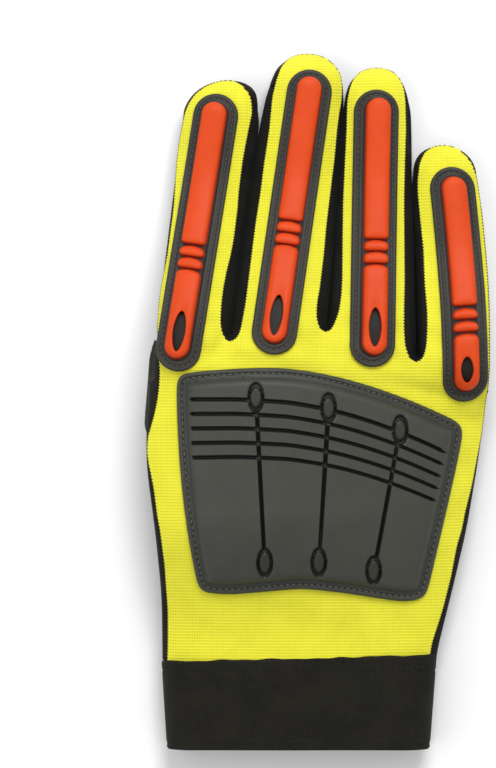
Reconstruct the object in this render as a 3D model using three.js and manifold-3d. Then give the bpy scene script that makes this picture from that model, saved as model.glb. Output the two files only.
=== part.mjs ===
// Right-hand impact glove, size 10, lying palm down with its thumb folded under the palm.
// Millimetres. X runs towards the little finger, Y towards the fingertips, Z up from the floor.
import * as THREE from "three";
import { mergeVertices } from "three/addons/utils/BufferGeometryUtils.js";
import Module from "manifold-3d";

const { lerp, smoothstep } = THREE.MathUtils;

// Driving dimensions: cloth and gaps
const WALL = 1.6;
const GAP = 0.3;
const PATCH = 1.0;
const GROUND = PATCH + GAP;

// Driving dimensions: the cuff and the flattened hand
const HEM_Y = -126.1;
const WRIST_Y = -94;
const KNUCKLE_Y = 24.6;
const CUFF = {
  high: 19.6,
  wrist: { left: -55.8, right: 43.9 },
  hem: { left: -53.9, right: 41.4 },
};
const HAND_HIGH = 18;
const FINGER_HIGH = 15.5;
const THINNING = { from: 20, over: 60 };
const CROTCH = { slope: -0.0795, curve: -0.00613 };

// How far the folded thumb lifts the hand, where along it, and where across its underside and top
const THUMB_LIFT = 14.7;
const LIFT_ALONG = { starts: -88, full: -40, falls: 20, ends: 88 };
const LIFT_UNDER = { from: 18, to: 60 };
const LIFT_OVER = { from: -30, to: 70 };

// How finely the solids are faceted: sides round a section and stretches along it
const HAND_FACETS = { sides: 20, inside: 12, along: 8 };
const FINGER_FACETS = { sides: 12, inside: 8, stretches: 4 };
const SEAM_FACETS = {
  y: [-130, -88, -64, -40, 20, 54, 88, 130],
  x: [-70, -30, 18, 39, 60, 70],
};
const GUARD_STEP = 12;
const SLIVER = 0.02;

// Levels that lie below and above the whole glove, and how far a cutter runs past an open end
const BELOW_ALL = -10;
const ABOVE_ALL = 70;
const OVERRUN = 3;

// Driving dimensions: the moulded guards, as heights above the cloth and half widths
const BASE = { low: 0.45, high: 2.0, half: 8.15 };
const BAR = { low: 2.3, high: 4.2, half: 4.4 };
const RIB_ARCH = 1.1;
const CROWN = 0.4;
const PLATE = { low: 0.7, raised_from: 1.7, flange: 2.3, groove: 3.4, high: 4.6, above: 9 };

// The hand's outline seen from above, from the wrist to the finger roots
const HAND = [
  { y: -94, left: -56.0, right: 43.7 },
  { y: -70, left: -56.2, right: 49.7 },
  { y: -47, left: -58.3, right: 55.1 },
  { y: -24, left: -61.4, right: 59.0 },
  { y: -13, left: -61.6, right: 60.6 },
  { y: 5, left: -60.2, right: 62.0 },
  { y: 26, left: -58.6, right: 62.3 },
];

// Each finger's outline seen from above, from inside the hand to where its tip starts to round
const FINGERS = [
  {
    name: "index",
    tip: { x: -31.5, y: 116.5 },
    rows: [
      { y: 5, left: -58.6, right: -33.0 },
      { y: 21, left: -57.7, right: -31.4 },
      { y: 46, left: -55.4, right: -28.3 },
      { y: 81, left: -51.3, right: -23.4 },
      { y: 105, left: -48.0, right: -20.9 },
    ],
  },
  {
    name: "middle",
    tip: { x: -2.9, y: 125.5 },
    rows: [
      { y: 8, left: -32.8, right: 2.2 },
      { y: 29, left: -30.1, right: 3.3 },
      { y: 52, left: -26.8, right: 5.8 },
      { y: 98, left: -19.6, right: 9.3 },
      { y: 114, left: -16.0, right: 9.9 },
    ],
  },
  {
    name: "ring",
    tip: { x: 22.0, y: 120.4 },
    rows: [
      { y: 5, left: 4.4, right: 35.8 },
      { y: 29, left: 3.9, right: 35.4 },
      { y: 52, left: 6.4, right: 35.0 },
      { y: 98, left: 9.8, right: 34.2 },
      { y: 109, left: 10.7, right: 33.4 },
    ],
  },
  {
    name: "little",
    tip: { x: 45.9, y: 92.7 },
    rows: [
      { y: -6, left: 37.4, right: 62.0 },
      { y: 14, left: 36.4, right: 62.4 },
      { y: 29, left: 35.9, right: 62.4 },
      { y: 52, left: 35.6, right: 60.8 },
      { y: 82, left: 35.1, right: 57.3 },
    ],
  },
];

// The thumb: its heel, the way it points under the hand, and its half width along that way
const THUMB = {
  heel: new THREE.Vector2(-45, -64),
  angle: THREE.MathUtils.degToRad(58.2),
  bottom: BAR.high,
  high: 10.2,
  tip: 92,
  rows: [
    { along: -9, half: 7 },
    { along: 6, half: 12.6 },
    { along: 25, half: 14.8 },
    { along: 60, half: 14.3 },
    { along: 80, half: 13.2 },
  ],
};

// The finger guards: their middle line seen from above, how far it bows sideways, and where each
// moulded piece starts and ends along it
const FINGER_GUARDS = [
  {
    name: "index",
    from: [-50.6, 10.4],
    to: [-34.9, 110.6],
    bow: 0,
    lower_bar: [4.7, 36.3],
    rib_b: [37.4, 40.7],
    rib_a: [41.8, 45.0],
    tip_bar: [46.3, 98.2],
    oval: [7.1, 21.7],
  },
  {
    name: "middle",
    from: [-16.2, 16.4],
    to: [-1.2, 119.3],
    bow: 0,
    lower_bar: [4.4, 39.3],
    rib_b: [40.2, 43.7],
    rib_a: [44.6, 48.0],
    tip_bar: [49.0, 101.3],
    oval: [6.9, 21.5],
  },
  {
    name: "ring",
    from: [19.9, 11.9],
    to: [22.0, 112.1],
    bow: 0,
    lower_bar: [4.5, 36.5],
    rib_b: [37.5, 41.1],
    rib_a: [42.0, 45.4],
    tip_bar: [46.3, 97.2],
    oval: [7.4, 21.4],
  },
  {
    name: "little",
    from: [53.5, -0.5],
    to: [48.4, 84.2],
    bow: 1.3,
    lower_bar: [4.0, 23.8],
    rib_b: [25.2, 28.4],
    rib_a: [29.8, 33.0],
    tip_bar: [34.6, 81.2],
    oval: [6.8, 16.1],
  },
];
const THUMB_GUARD = {
  name: "thumb",
  base_half: 8.6,
  bar_half: 5.2,
  from: [-51.0, -69.3],
  to: [-1.2, 11.0],
  bow: 2.4,
  lower_bar: [4.8, 33.4],
  rib_d: [34.6, 37.8],
  rib_c: [39.0, 42.2],
  middle_bar: [43.4, 66.6],
  rib_b: [67.8, 71.0],
  rib_a: [72.2, 75.4],
  tip_bar: [76.6, 89.6],
  oval: [9.0, 23.0],
};

// The knuckle plate seen from above: its curved top edge, its sides, its lower edge, its five curved
// grooves and its three channels with ovals
const PLATE_TOP_EDGE = { y: 11, drop: 20.2, from: -12, over: 63.5, power: 1.6 };
const PLATE_SIDES = {
  left: { top: -50, lean: 8, power: 2.2 },
  right: { top: 52.2, lean: -14, power: 1.2 },
  tall: 78,
  corner: 6.5,
  flange: 3.4,
};
const PLATE_LOWER_EDGE = [
  { x: -52, y: -68.4 },
  { x: -31, y: -69.8 },
  { x: -5, y: -67.5 },
  { x: 10, y: -69.2 },
  { x: 32, y: -72.7 },
  { x: 54, y: -69.0 },
];
const PLATE_GROOVES = {
  count: 5,
  half: 0.65,
  from: -46.5,
  to: { first: 47.4, last: 44 },
  below_top: 10.6,
  pitch: { left: 5.4, right: 4.5 },
};
const PLATE_CHANNELS = [
  { top: [-21.7, 1.1], bottom: [-18.5, -58.0] },
  { top: [4.2, -2.6], bottom: [0.8, -57.9] },
  { top: [30.0, -10.6], bottom: [20.5, -61.0] },
];
const CHANNEL_HALF = 0.7;
const PLATE_OVAL = { half: 2.6, long: 4.85 };

// The cloth's seams, as shares of its half height above its middle, and the forked strips
const SIDE_SEAM = 0.3;
const UPPER_SEAM = 0.72;
const LOWER_SEAM = -0.5;
const FORK = { past_side: 1.5, below_crotch: 5, tip_margin: 7 };

// The leather patches: how high they reach round the sides, the fingertip caps, and the plans of
// those over the side edge at the thumb, under the finger roots and under the heel of the hand
const PATCH_REACH = { under: -0.72, side: 0.85 };
const TIP_PATCH = { long: 36, inset: 1.5, past_tip: 5, wide_at: 20 };
const SADDLE_PLAN = [
  [-75, -15],
  [-60.6, -15],
  [-58.4, -5],
  [-57.2, 1],
  [-57.6, 7],
  [-59.4, 12],
  [-59.2, 25],
  [-75, 25],
];
const PALM_PATCH_PLAN = [
  [-52, -8],
  [-29, 0],
  [-9, 7],
  [12, -2],
  [22, -22],
  [24, -45],
  [52, -45],
  [57, -14],
  [50, 2],
  [36, 8],
  [20, 17],
  [3, 18],
  [-14, 22],
  [-31, 15],
  [-44, 17],
  [-54, 8],
];
const HEEL_PATCH_PLAN = [
  [-13, -90],
  [-23, -66],
  [-12, -50],
  [12, -47],
  [50, -47.5],
  [41, -90],
];

const wasm = await Module();
wasm.setup();

// Numbers from 0 to 1 in even steps
function steps(count) {
  return Array.from({ length: count + 1 }, (_, i) => i / count);
}

// A table's columns at a value of its first column, straight between its rows
function row(table, key, value) {
  const last = table.length - 1;
  const found = table.findIndex((entry) => entry[key] >= value);
  const k = THREE.MathUtils.clamp(found < 0 ? last : found, 1, last);
  const share = (value - table[k - 1][key]) / (table[k][key] - table[k - 1][key]);
  const columns = Object.keys(table[k]);
  return Object.fromEntries(
    columns.map((name) => [name, lerp(table[k - 1][name], table[k][name], share)]),
  );
}

// A closed solid through rings of points, with both end rings capped
function loft(rings) {
  const count = rings[0].length;
  const triangles = [];
  rings.slice(1).forEach((_, k) => {
    for (let i = 0; i < count; i++) {
      const a = k * count + i;
      const b = k * count + ((i + 1) % count);
      triangles.push([a, b, b + count], [a, b + count, a + count]);
    }
  });
  const lastRing = (rings.length - 1) * count;
  for (let i = 0, j = count - 1; j - i > 1; i++, j--) {
    const cap = [[i, j, i + 1]];
    if (j - i > 2) cap.push([i + 1, j, j - 1]);
    triangles.push(...cap, ...cap.map(([a, b, c]) => [lastRing + a, lastRing + c, lastRing + b]));
  }
  return solidFrom(rings.flat(2), triangles);
}

// A solid from points and triangles, turned the right way out
function solidFrom(numbers, triangles) {
  const point = (i) => new THREE.Vector3(...numbers.slice(3 * i, 3 * i + 3));
  const volume = triangles.reduce(
    (sum, [a, b, c]) => sum + point(a).dot(point(b).cross(point(c))),
    0,
  );
  const facing = volume < 0 ? triangles.map(([a, b, c]) => [a, c, b]) : triangles;
  const vertProperties = new Float32Array(numbers);
  const triVerts = new Uint32Array(facing.flat());
  return new wasm.Manifold(new wasm.Mesh({ numProp: 3, vertProperties, triVerts }));
}

// A straight prism over a list of corners seen from above, from under the glove to over it
function prism(corners) {
  const shape = new THREE.Shape(corners.map(([x, y]) => new THREE.Vector2(x, y)));
  const depth = ABOVE_ALL - BELOW_ALL;
  const block = new THREE.ExtrudeGeometry(shape, { depth, bevelEnabled: false });
  block.translate(0, 0, BELOW_ALL);
  block.deleteAttribute("normal");
  block.deleteAttribute("uv");
  const { attributes, index } = mergeVertices(block);
  const triVerts = new Uint32Array(index.array);
  const vertProperties = attributes.position.array;
  return new wasm.Manifold(new wasm.Mesh({ numProp: 3, vertProperties, triVerts }));
}

// The largest of a solid's separate bodies, without the crumbs that a cut leaves
function largest(solid) {
  return solid.decompose().reduce((best, next) => (next.volume() > best.volume() ? next : best));
}

function join(solids) {
  return solids.reduce((all, next) => all.add(next));
}

// Points of a rounded section, as shares of its half width and half height, from its left end round
// underneath
function ovalPoints(count, power) {
  const eased = (value) => Math.sign(value) * Math.abs(value) ** (2 / power);
  return Array.from({ length: count }, (_, i) => {
    const angle = Math.PI + (2 * Math.PI * i) / count;
    return [eased(Math.cos(angle)), eased(Math.sin(angle))];
  });
}

// The line of the finger crotches, an arc across the hand
function crotchLine(x) {
  return KNUCKLE_Y + CROTCH.slope * x + CROTCH.curve * x * x;
}

// The lift of the hand over the folded thumb, falling away across it from one side to the other
function lift(x, y, { from, to }) {
  const { starts, full, falls, ends } = LIFT_ALONG;
  const along = smoothstep(y, starts, full) * (1 - smoothstep(y, falls, ends));
  return THUMB_LIFT * along * (1 - smoothstep(x, from, to));
}

// Levels of the underside and the top of the hand's cloth, before its sides are rounded
function undersideLevel(x, y) {
  return GROUND + lift(x, y, LIFT_UNDER);
}
function topLevel(x, y) {
  const thinned = THREE.MathUtils.clamp((y - THINNING.from) / THINNING.over, 0, 1);
  return GROUND + lerp(HAND_HIGH, FINGER_HIGH, thinned) + lift(x, y, LIFT_OVER);
}
function level(x, y, share) {
  const half = (topLevel(x, y) - undersideLevel(x, y)) / 2;
  return undersideLevel(x, y) + half * (1 + share);
}

const HAND_POWER = 2.8;
const FINGER_POWER = 2.4;
const TIP_SHRINK = [1, 0.92, 0.66, 0.24];
const TIP_REACH = [0, 0.42, 0.82, 1];
const TIP_DROP = 1;

// The hand as a solid, grown or shrunk by a distance, and run out past the wrist by another
function handBody(grow, overrun = 0) {
  const sides = grow < 0 ? HAND_FACETS.inside : HAND_FACETS.sides;
  const shares = steps(HAND_FACETS.along);
  if (overrun) shares.unshift(-overrun / (KNUCKLE_Y - WRIST_Y));
  return loft(
    shares.map((share) => {
      const { left, right } = row(HAND, "y", lerp(WRIST_Y, KNUCKLE_Y, share));
      return ovalPoints(sides, HAND_POWER).map(([across, up]) => {
        const x = (left + right) / 2 + across * ((right - left) / 2 + grow);
        const y = lerp(WRIST_Y, crotchLine(x) + grow, share);
        const half = (topLevel(x, y) - undersideLevel(x, y)) / 2 + grow;
        return [x, y, level(x, y, 0) + up * half];
      });
    }),
  );
}

// A finger's sections: where each lies, its half width and height, and the middle of both
function fingerSections(finger, grow) {
  const { rows, tip } = finger;
  const tipStart = rows.at(-1).y;
  const rooted = steps(FINGER_FACETS.stretches).slice(0, -1).map((share) => ({
    y: lerp(rows[0].y, tipStart, share),
    shrink: 1,
    reach: 0,
  }));
  const rounded = TIP_SHRINK.map((shrink, k) => ({
    y: lerp(tipStart, tip.y + grow, TIP_REACH[k]),
    shrink,
    reach: TIP_REACH[k],
  }));
  return [...rooted, ...rounded].map(({ y, shrink, reach }) => {
    const { left, right } = row(rows, "y", Math.min(y, tipStart));
    const x = lerp((left + right) / 2, tip.x, reach);
    const halfHigh = (topLevel(x, y) - undersideLevel(x, y) - GAP) / 2;
    return {
      x,
      y,
      z: level(x, y, 0) - TIP_DROP * reach,
      halfWide: ((right - left) / 2 + grow) * shrink,
      halfHigh: (halfHigh + grow) * lerp(1, shrink, 0.75),
    };
  });
}
function fingerBody(finger, grow) {
  const sides = grow < 0 ? FINGER_FACETS.inside : FINGER_FACETS.sides;
  return loft(
    fingerSections(finger, grow).map(({ x, y, z, halfWide, halfHigh }) =>
      ovalPoints(sides, FINGER_POWER).map(([across, up]) => [
        x + across * halfWide,
        y,
        z + up * halfHigh,
      ]),
    ),
  );
}

// A point of the floor plan in the thumb's own directions, and back, and its half width there
function thumbPoint(along, across) {
  const pivot = new THREE.Vector2();
  return new THREE.Vector2(along, -across).rotateAround(pivot, THUMB.angle).add(THUMB.heel);
}
function thumbPlace(x, y) {
  const pivot = new THREE.Vector2();
  const local = new THREE.Vector2(x, y).sub(THUMB.heel).rotateAround(pivot, -THUMB.angle);
  return { along: local.x, across: -local.y };
}
function thumbHalf(along) {
  const { rows } = THUMB;
  const held = THREE.MathUtils.clamp(along, rows[0].along, rows.at(-1).along);
  return row(rows, "along", held).half;
}
function thumbBody(grow, overrun = 0) {
  const tipStart = THUMB.rows.at(-1).along;
  const start = THUMB.rows[0].along - overrun;
  const rooted = [0, 0.15, 0.4, 0.7].map((share) => ({
    along: lerp(start, tipStart, share),
    shrink: 1,
  }));
  const rounded = TIP_SHRINK.map((shrink, k) => ({
    along: lerp(tipStart, THUMB.tip + grow, TIP_REACH[k]),
    shrink,
  }));
  return loft(
    [...rooted, ...rounded].map(({ along, shrink }) => {
      const halfHigh = (THUMB.high / 2 + grow) * lerp(1, shrink, 0.75);
      return ovalPoints(FINGER_FACETS.sides, HAND_POWER).map(([across, up]) => {
        const { x, y } = thumbPoint(along, across * (thumbHalf(along) + grow) * shrink);
        return [x, y, THUMB.bottom + THUMB.high / 2 + up * halfHigh];
      });
    }),
  );
}

// Everything below a seam, which runs at a share of the half height above the middle of the cloth
function belowSeam(share, shift = 0) {
  return loft(
    SEAM_FACETS.y.map((y) => [
      ...SEAM_FACETS.x.map((x) => [x, y, BELOW_ALL]),
      ...SEAM_FACETS.x.toReversed().map((x) => [x, y, level(x, y, share) + shift]),
    ]),
  );
}

// Height of the outside of the cloth above a point of the floor plan
function roundedShare(offset, power) {
  return offset >= 1 ? -1 : (1 - offset ** power) ** (1 / power);
}
function fingerTop(finger, x, y) {
  const tipStart = finger.rows.at(-1).y;
  if (y < finger.rows[0].y || y > finger.tip.y) return -Infinity;
  const { left, right } = row(finger.rows, "y", Math.min(y, tipStart));
  const reach = Math.max(0, (y - tipStart) / (finger.tip.y - tipStart));
  const middle = lerp((left + right) / 2, finger.tip.x, reach);
  const shrink = Math.sqrt(1 - 0.95 * reach * reach);
  const up = roundedShare(Math.abs(x - middle) / (((right - left) / 2) * shrink), FINGER_POWER);
  if (up < 0) return -Infinity;
  const half = ((topLevel(middle, y) - undersideLevel(middle, y)) / 2) * lerp(1, shrink, 0.75);
  return level(middle, y, 0) - TIP_DROP * reach + up * half;
}
function handTop(x, y) {
  if (y > crotchLine(x)) return -Infinity;
  const { left, right } = row(HAND, "y", y);
  const up = roundedShare(Math.abs(x - (left + right) / 2) / ((right - left) / 2), HAND_POWER);
  return up < 0 ? -Infinity : level(x, y, up);
}
function onBack(x, y, height) {
  const tops = [handTop(x, y), ...FINGERS.map((finger) => fingerTop(finger, x, y))];
  return [x, y, Math.max(...tops) + height];
}
function underThumb(x, y, height) {
  const { along, across } = thumbPlace(x, y);
  const up = Math.max(0, roundedShare(Math.abs(across) / thumbHalf(along), HAND_POWER));
  return [x, y, THUMB.bottom + (THUMB.high / 2) * (1 - up) - height];
}

// A moulded strip laid on the cloth: its middle line and half width at shares of its length, and
// its underside and top above the cloth. A bevelled one has its top edges taken down.
function strip({ spine, half, shares, low, high, lay, profile }) {
  return loft(
    shares.map((share) => {
      const here = spine(share);
      const way = spine(share + 1e-3).sub(spine(share - 1e-3)).normalize();
      return profile(low, high).map(([across, height]) => {
        const reach = across * half(share);
        return lay(here.x + way.y * reach, here.y - way.x * reach, height);
      });
    }),
  );
}
function beam(low, high) {
  const bevel = (high - low) * 0.35;
  return [
    [-1, low],
    [1, low],
    [1, high - bevel],
    [0.84, high],
    [-0.84, high],
    [-1, high - bevel],
  ];
}
function lens(low, high) {
  const bevel = (high - low) * 0.4;
  return [
    [-1, low],
    [1, low],
    [1, high - bevel],
    [0.5, high],
    [-0.5, high],
    [-1, high - bevel],
  ];
}
function knife(low, high) {
  return [
    [-1, low],
    [1, low],
    [1, high],
    [-1, high],
  ];
}

// A guard's middle line by the distance from its lower end, and how it lies: level with the cloth
// along that line and slightly crowned across it
function guardLine({ from, to, bow }, surface) {
  const start = new THREE.Vector2(...from);
  const whole = new THREE.Vector2(...to).sub(start);
  const length = whole.length();
  const way = whole.clone().normalize();
  const side = new THREE.Vector2(way.y, -way.x);
  const bowed = (along) => (bow * 4 * along * (length - along)) / length ** 2;
  const place = (along, across = 0) =>
    start.clone().addScaledVector(way, along).addScaledVector(side, across + bowed(along));
  const lay = (x, y, height) => {
    const local = new THREE.Vector2(x, y).sub(start);
    const along = local.dot(way);
    const across = local.dot(side) - bowed(along);
    const middle = place(THREE.MathUtils.clamp(along, 0, length));
    const [, , level] = surface(middle.x, middle.y, height - CROWN * (across / BASE.half) ** 2);
    return [x, y, level];
  };
  return { place, length, lay };
}

// Shares along a bar: close together where its ends round, and else at whole steps of the guard
function barShares(start, end, half) {
  const length = end - start;
  const eased = [0.03, 0.3, 1].map((part) => part * half);
  const inside = [];
  for (let at = Math.ceil((start + half) / GUARD_STEP) * GUARD_STEP; at < end - half; at += GUARD_STEP)
    inside.push(at - start);
  return [...eased, ...inside, ...eased.map((at) => length - at).reverse()]
    .filter((at, k, all) => k === 0 || at - all[k - 1] > 0.05)
    .map((at) => at / length);
}
function roundEnd(distance, half) {
  const inside = THREE.MathUtils.clamp(1 - distance / half, 0, 1);
  return half * Math.sqrt(1 - inside * inside);
}
function squareEnd(distance, half) {
  return half - Math.max(0, 0.7 - distance);
}

// A bar of a guard between two distances along it, with a shape for each of its ends
function guardBar({ place, lay }, [start, end], half, { low, high }, [lowerEnd, upperEnd]) {
  const length = end - start;
  return strip({
    spine: (share) => place(lerp(start, end, share)),
    half: (share) => Math.min(lowerEnd(share * length, half), upperEnd((1 - share) * length, half)),
    shares: barShares(start, end, half),
    low,
    high,
    lay,
    profile: beam,
  });
}

// A rib across a guard: a lens arched towards the fingertip
function guardRib({ place, lay }, [start, end], half) {
  const thick = (end - start) / 2;
  return strip({
    spine: (share) => {
      const arch = RIB_ARCH * (0.5 - (2 * share - 1) ** 2);
      return place((start + end) / 2 + arch, lerp(-half, half, share));
    },
    half: (share) => thick * Math.sqrt(Math.max(0.05, 1 - (2 * share - 1) ** 2)),
    shares: [0.01, 0.18, 0.5, 0.82, 0.99],
    low: BAR.low,
    high: BAR.high,
    lay,
    profile: lens,
  });
}

// The oval hole through a guard's lower bar
function guardHole({ place, lay }, [start, end]) {
  return strip({
    spine: (share) => place(lerp(start, end, share)),
    half: (share) => ((end - start) / 6) * Math.sqrt(1 - (2 * share - 1) ** 2),
    shares: [0.02, 0.2, 0.5, 0.8, 0.98],
    low: BAR.low - 1,
    high: BAR.high + 3,
    lay,
    profile: knife,
  });
}

// All pieces of one guard, by node name
function guardPieces(guard, surface, body, baseHalf, barHalf) {
  const line = guardLine(guard, surface);
  const base = guardBar(line, [0, line.length], baseHalf, BASE, [roundEnd, roundEnd]);
  const pieces = {
    base: base.subtract(body),
    lower_bar: guardBar(line, guard.lower_bar, barHalf, BAR, [roundEnd, squareEnd]).subtract(
      guardHole(line, guard.oval),
    ),
    tip_bar: guardBar(line, guard.tip_bar, barHalf, BAR, [squareEnd, roundEnd]),
  };
  if (guard.middle_bar)
    pieces.middle_bar = guardBar(line, guard.middle_bar, barHalf, BAR, [squareEnd, squareEnd]);
  for (const name of ["rib_a", "rib_b", "rib_c", "rib_d"])
    if (guard[name]) pieces[name] = guardRib(line, guard[name], barHalf);
  return pieces;
}

// The knuckle plate's top edge seen from above, and a solid of its outline brought in by an inset
function plateTopEdge(x) {
  const { y, drop, from, over, power } = PLATE_TOP_EDGE;
  return y - drop * Math.max(0, (x - from) / over) ** power;
}
function plateSheet(inset, low, high) {
  const { left: leftSide, right: rightSide, tall, corner } = PLATE_SIDES;
  const columns = steps(6);
  return loft(
    [0.002, 0.03, 0.1, 0.3, 0.5, 0.7, 0.88, 0.96, 0.998].map((share) => {
      const nearEnd = Math.min(share, 1 - share) * tall;
      const rounding = corner - roundEnd(nearEnd, corner);
      const side = ({ top, lean, power }) => top + lean * share ** power;
      const left = side(leftSide) + inset + rounding;
      const right = side(rightSide) - inset - rounding;
      const point = (across, height) => {
        const x = lerp(left, right, across);
        const bottom = row(PLATE_LOWER_EDGE, "x", x).y + inset;
        return onBack(x, lerp(plateTopEdge(x) - inset, bottom, share), height);
      };
      return [
        ...columns.map((across) => point(across, low)),
        ...columns.toReversed().map((across) => point(across, high)),
      ];
    }),
  );
}
function plateCut(spine, half, shares) {
  const [low, high] = [PLATE.groove, PLATE.above];
  return strip({ spine, half, shares, low, high, lay: onBack, profile: knife });
}
function plateOval([x, y]) {
  const { half, long } = PLATE_OVAL;
  return plateCut(
    (share) => new THREE.Vector2(x, y + long * (1 - 2 * share)),
    (share) => half * Math.sqrt(Math.max(0.02, 1 - (2 * share - 1) ** 2)),
    [0.02, 0.2, 0.5, 0.8, 0.98],
  );
}
function knucklePlate() {
  const { count, half, from, to, below_top: belowTop, pitch } = PLATE_GROOVES;
  const grooves = Array.from({ length: count }, (_, k) =>
    plateCut(
      (share) => {
        const x = lerp(from, lerp(to.first, to.last, k / (count - 1)), share);
        const apart = lerp(pitch.left, pitch.right, share);
        return new THREE.Vector2(x, plateTopEdge(x) - belowTop - k * apart);
      },
      () => half,
      steps(4),
    ),
  );
  const channels = PLATE_CHANNELS.map(({ top, bottom }) =>
    plateCut(
      (share) => new THREE.Vector2(...top).lerp(new THREE.Vector2(...bottom), share),
      () => CHANNEL_HALF,
      steps(1),
    ),
  );
  const ovals = PLATE_CHANNELS.flatMap(({ top, bottom }) => [plateOval(top), plateOval(bottom)]);
  const body = plateSheet(0, PLATE.low, PLATE.flange).add(
    plateSheet(PLATE_SIDES.flange, PLATE.raised_from, PLATE.high),
  );
  return body.subtract(join([...grooves, ...channels, ...ovals])).subtract(gloveBody(GAP));
}

// The hand with its four fingers as one solid
function gloveBody(grow, overrun = 0) {
  return join([handBody(grow, overrun), ...FINGERS.map((finger) => fingerBody(finger, grow))]);
}

// The plan of a fourchette: from the middle line of each of two fingers to just past its near side,
// brought in by an inset
function halfFork(finger, side, low, inset) {
  const high = finger.tip.y - FORK.tip_margin - inset;
  const corners = [low + inset, high].map((y) => {
    const { left, right } = row(finger.rows, "y", Math.min(y, finger.rows.at(-1).y));
    const reach = side * ((right - left) / 2 + FORK.past_side);
    return { y, middle: (left + right) / 2 + side * inset, outer: (left + right) / 2 + reach };
  });
  const [bottom, top] = corners;
  return prism([
    [bottom.middle, bottom.y],
    [bottom.outer, bottom.y],
    [top.outer, top.y],
    [top.middle, top.y],
  ]);
}
function fourchettePlan(first, second, inset) {
  const between = (first.rows[1].right + second.rows[1].left) / 2;
  const low = crotchLine(between) - FORK.below_crotch;
  return halfFork(first, 1, low, inset).add(halfFork(second, -1, low, inset));
}

// The glove's cloth: outside less inside, cut along its seams
function clothPieces() {
  const inside = gloveBody(-WALL, OVERRUN).add(thumbBody(-WALL));
  const shell = gloveBody(0).subtract(inside);
  const pairs = [0, 1, 2].map((k) => [FINGERS[k], FINGERS[k + 1]]);
  const forks = join(pairs.map(([first, second]) => fourchettePlan(first, second, -GAP)));
  const back = shell
    .subtract(belowSeam(SIDE_SEAM, GAP / 2))
    .subtract(forks.intersect(belowSeam(UPPER_SEAM, GAP / 2)));
  const palm = shell
    .intersect(belowSeam(SIDE_SEAM, -GAP / 2))
    .subtract(forks.subtract(belowSeam(LOWER_SEAM, -GAP / 2)));
  const band = belowSeam(UPPER_SEAM, -GAP / 2).subtract(belowSeam(LOWER_SEAM, GAP / 2));
  const pieces = { back_panel: back, palm_panel: palm };
  pairs.forEach(([first, second], k) => {
    const plan = fourchettePlan(first, second, GAP);
    pieces["fourchette_" + (k + 1)] = largest(shell.intersect(plan).intersect(band));
  });
  pieces.thumb = thumbBody(0)
    .subtract(thumbBody(-WALL, OVERRUN))
    .subtract(gloveBody(GAP, OVERRUN));
  return pieces;
}

// The cuff: a flat elastic tube, open at both ends
function cuffTube(grow, overrun) {
  const middle = CUFF.high / 2;
  const radius = middle + grow;
  const ends = [
    { y: WRIST_Y - GAP + overrun, ...CUFF.wrist },
    { y: HEM_Y - overrun, ...CUFF.hem },
  ];
  return loft(
    ends.map(({ y, left, right }) => {
      const arc = (x, start) =>
        steps(6).map((share) => {
          const angle = start + Math.PI * share;
          return [x + radius * Math.cos(angle), y, middle + radius * Math.sin(angle)];
        });
      return [...arc(left + middle, Math.PI / 2), ...arc(right - middle, -Math.PI / 2)];
    }),
  );
}

// The leather patches, cut from a layer laid over the cloth
function patchPieces() {
  const layer = gloveBody(GAP + PATCH).subtract(gloveBody(GAP, OVERRUN));
  const underneath = layer.intersect(belowSeam(PATCH_REACH.under));
  const pieces = {};
  const { long, inset, past_tip: pastTip, wide_at: wideAt } = TIP_PATCH;
  for (const { name, rows, tip } of FINGERS) {
    const { left, right } = row(rows, "y", tip.y - wideAt);
    const plan = prism([
      [left + inset, tip.y - long],
      [right - inset, tip.y - long],
      [right - inset, tip.y + pastTip],
      [left + inset, tip.y + pastTip],
    ]);
    pieces["tip_patch_" + name] = underneath.intersect(plan);
  }
  pieces.thumb_saddle = layer
    .intersect(prism(SADDLE_PLAN))
    .intersect(belowSeam(PATCH_REACH.side));
  pieces.palm_patch = underneath.intersect(prism(PALM_PATCH_PLAN));
  pieces.heel_patch = underneath.intersect(prism(HEEL_PATCH_PLAN));
  return pieces;
}

// The materials, one for each kind of finish
const MATERIALS = {
  knit: { color: 0xdff01e, roughness: 0.9 },
  leather: { color: 0x1c1b1a, roughness: 0.75 },
  suede: { color: 0x27211d, roughness: 0.95 },
  elastic: { color: 0x181818, roughness: 0.9 },
  grey_rubber: { color: 0x45473f, roughness: 0.55 },
  orange_rubber: { color: 0xf5581e, roughness: 0.45 },
};

function materialOf(name) {
  if (name === "back_panel") return MATERIALS.knit;
  if (name === "cuff") return MATERIALS.elastic;
  if (name === "knuckle_guard" || name.endsWith("_base")) return MATERIALS.grey_rubber;
  if (name.startsWith("guard_")) return MATERIALS.orange_rubber;
  return name === "thumb" ? MATERIALS.suede : MATERIALS.leather;
}

function meshOf(name, solid) {
  const { numProp, vertProperties, triVerts } = solid.simplify(SLIVER).getMesh();
  const geometry = new THREE.BufferGeometry();
  geometry.setAttribute("position", new THREE.BufferAttribute(vertProperties, numProp));
  geometry.setIndex(new THREE.BufferAttribute(triVerts, 1));
  geometry.computeVertexNormals();
  const mesh = new THREE.Mesh(geometry, new THREE.MeshStandardMaterial(materialOf(name)));
  mesh.name = name;
  return mesh;
}

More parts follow.
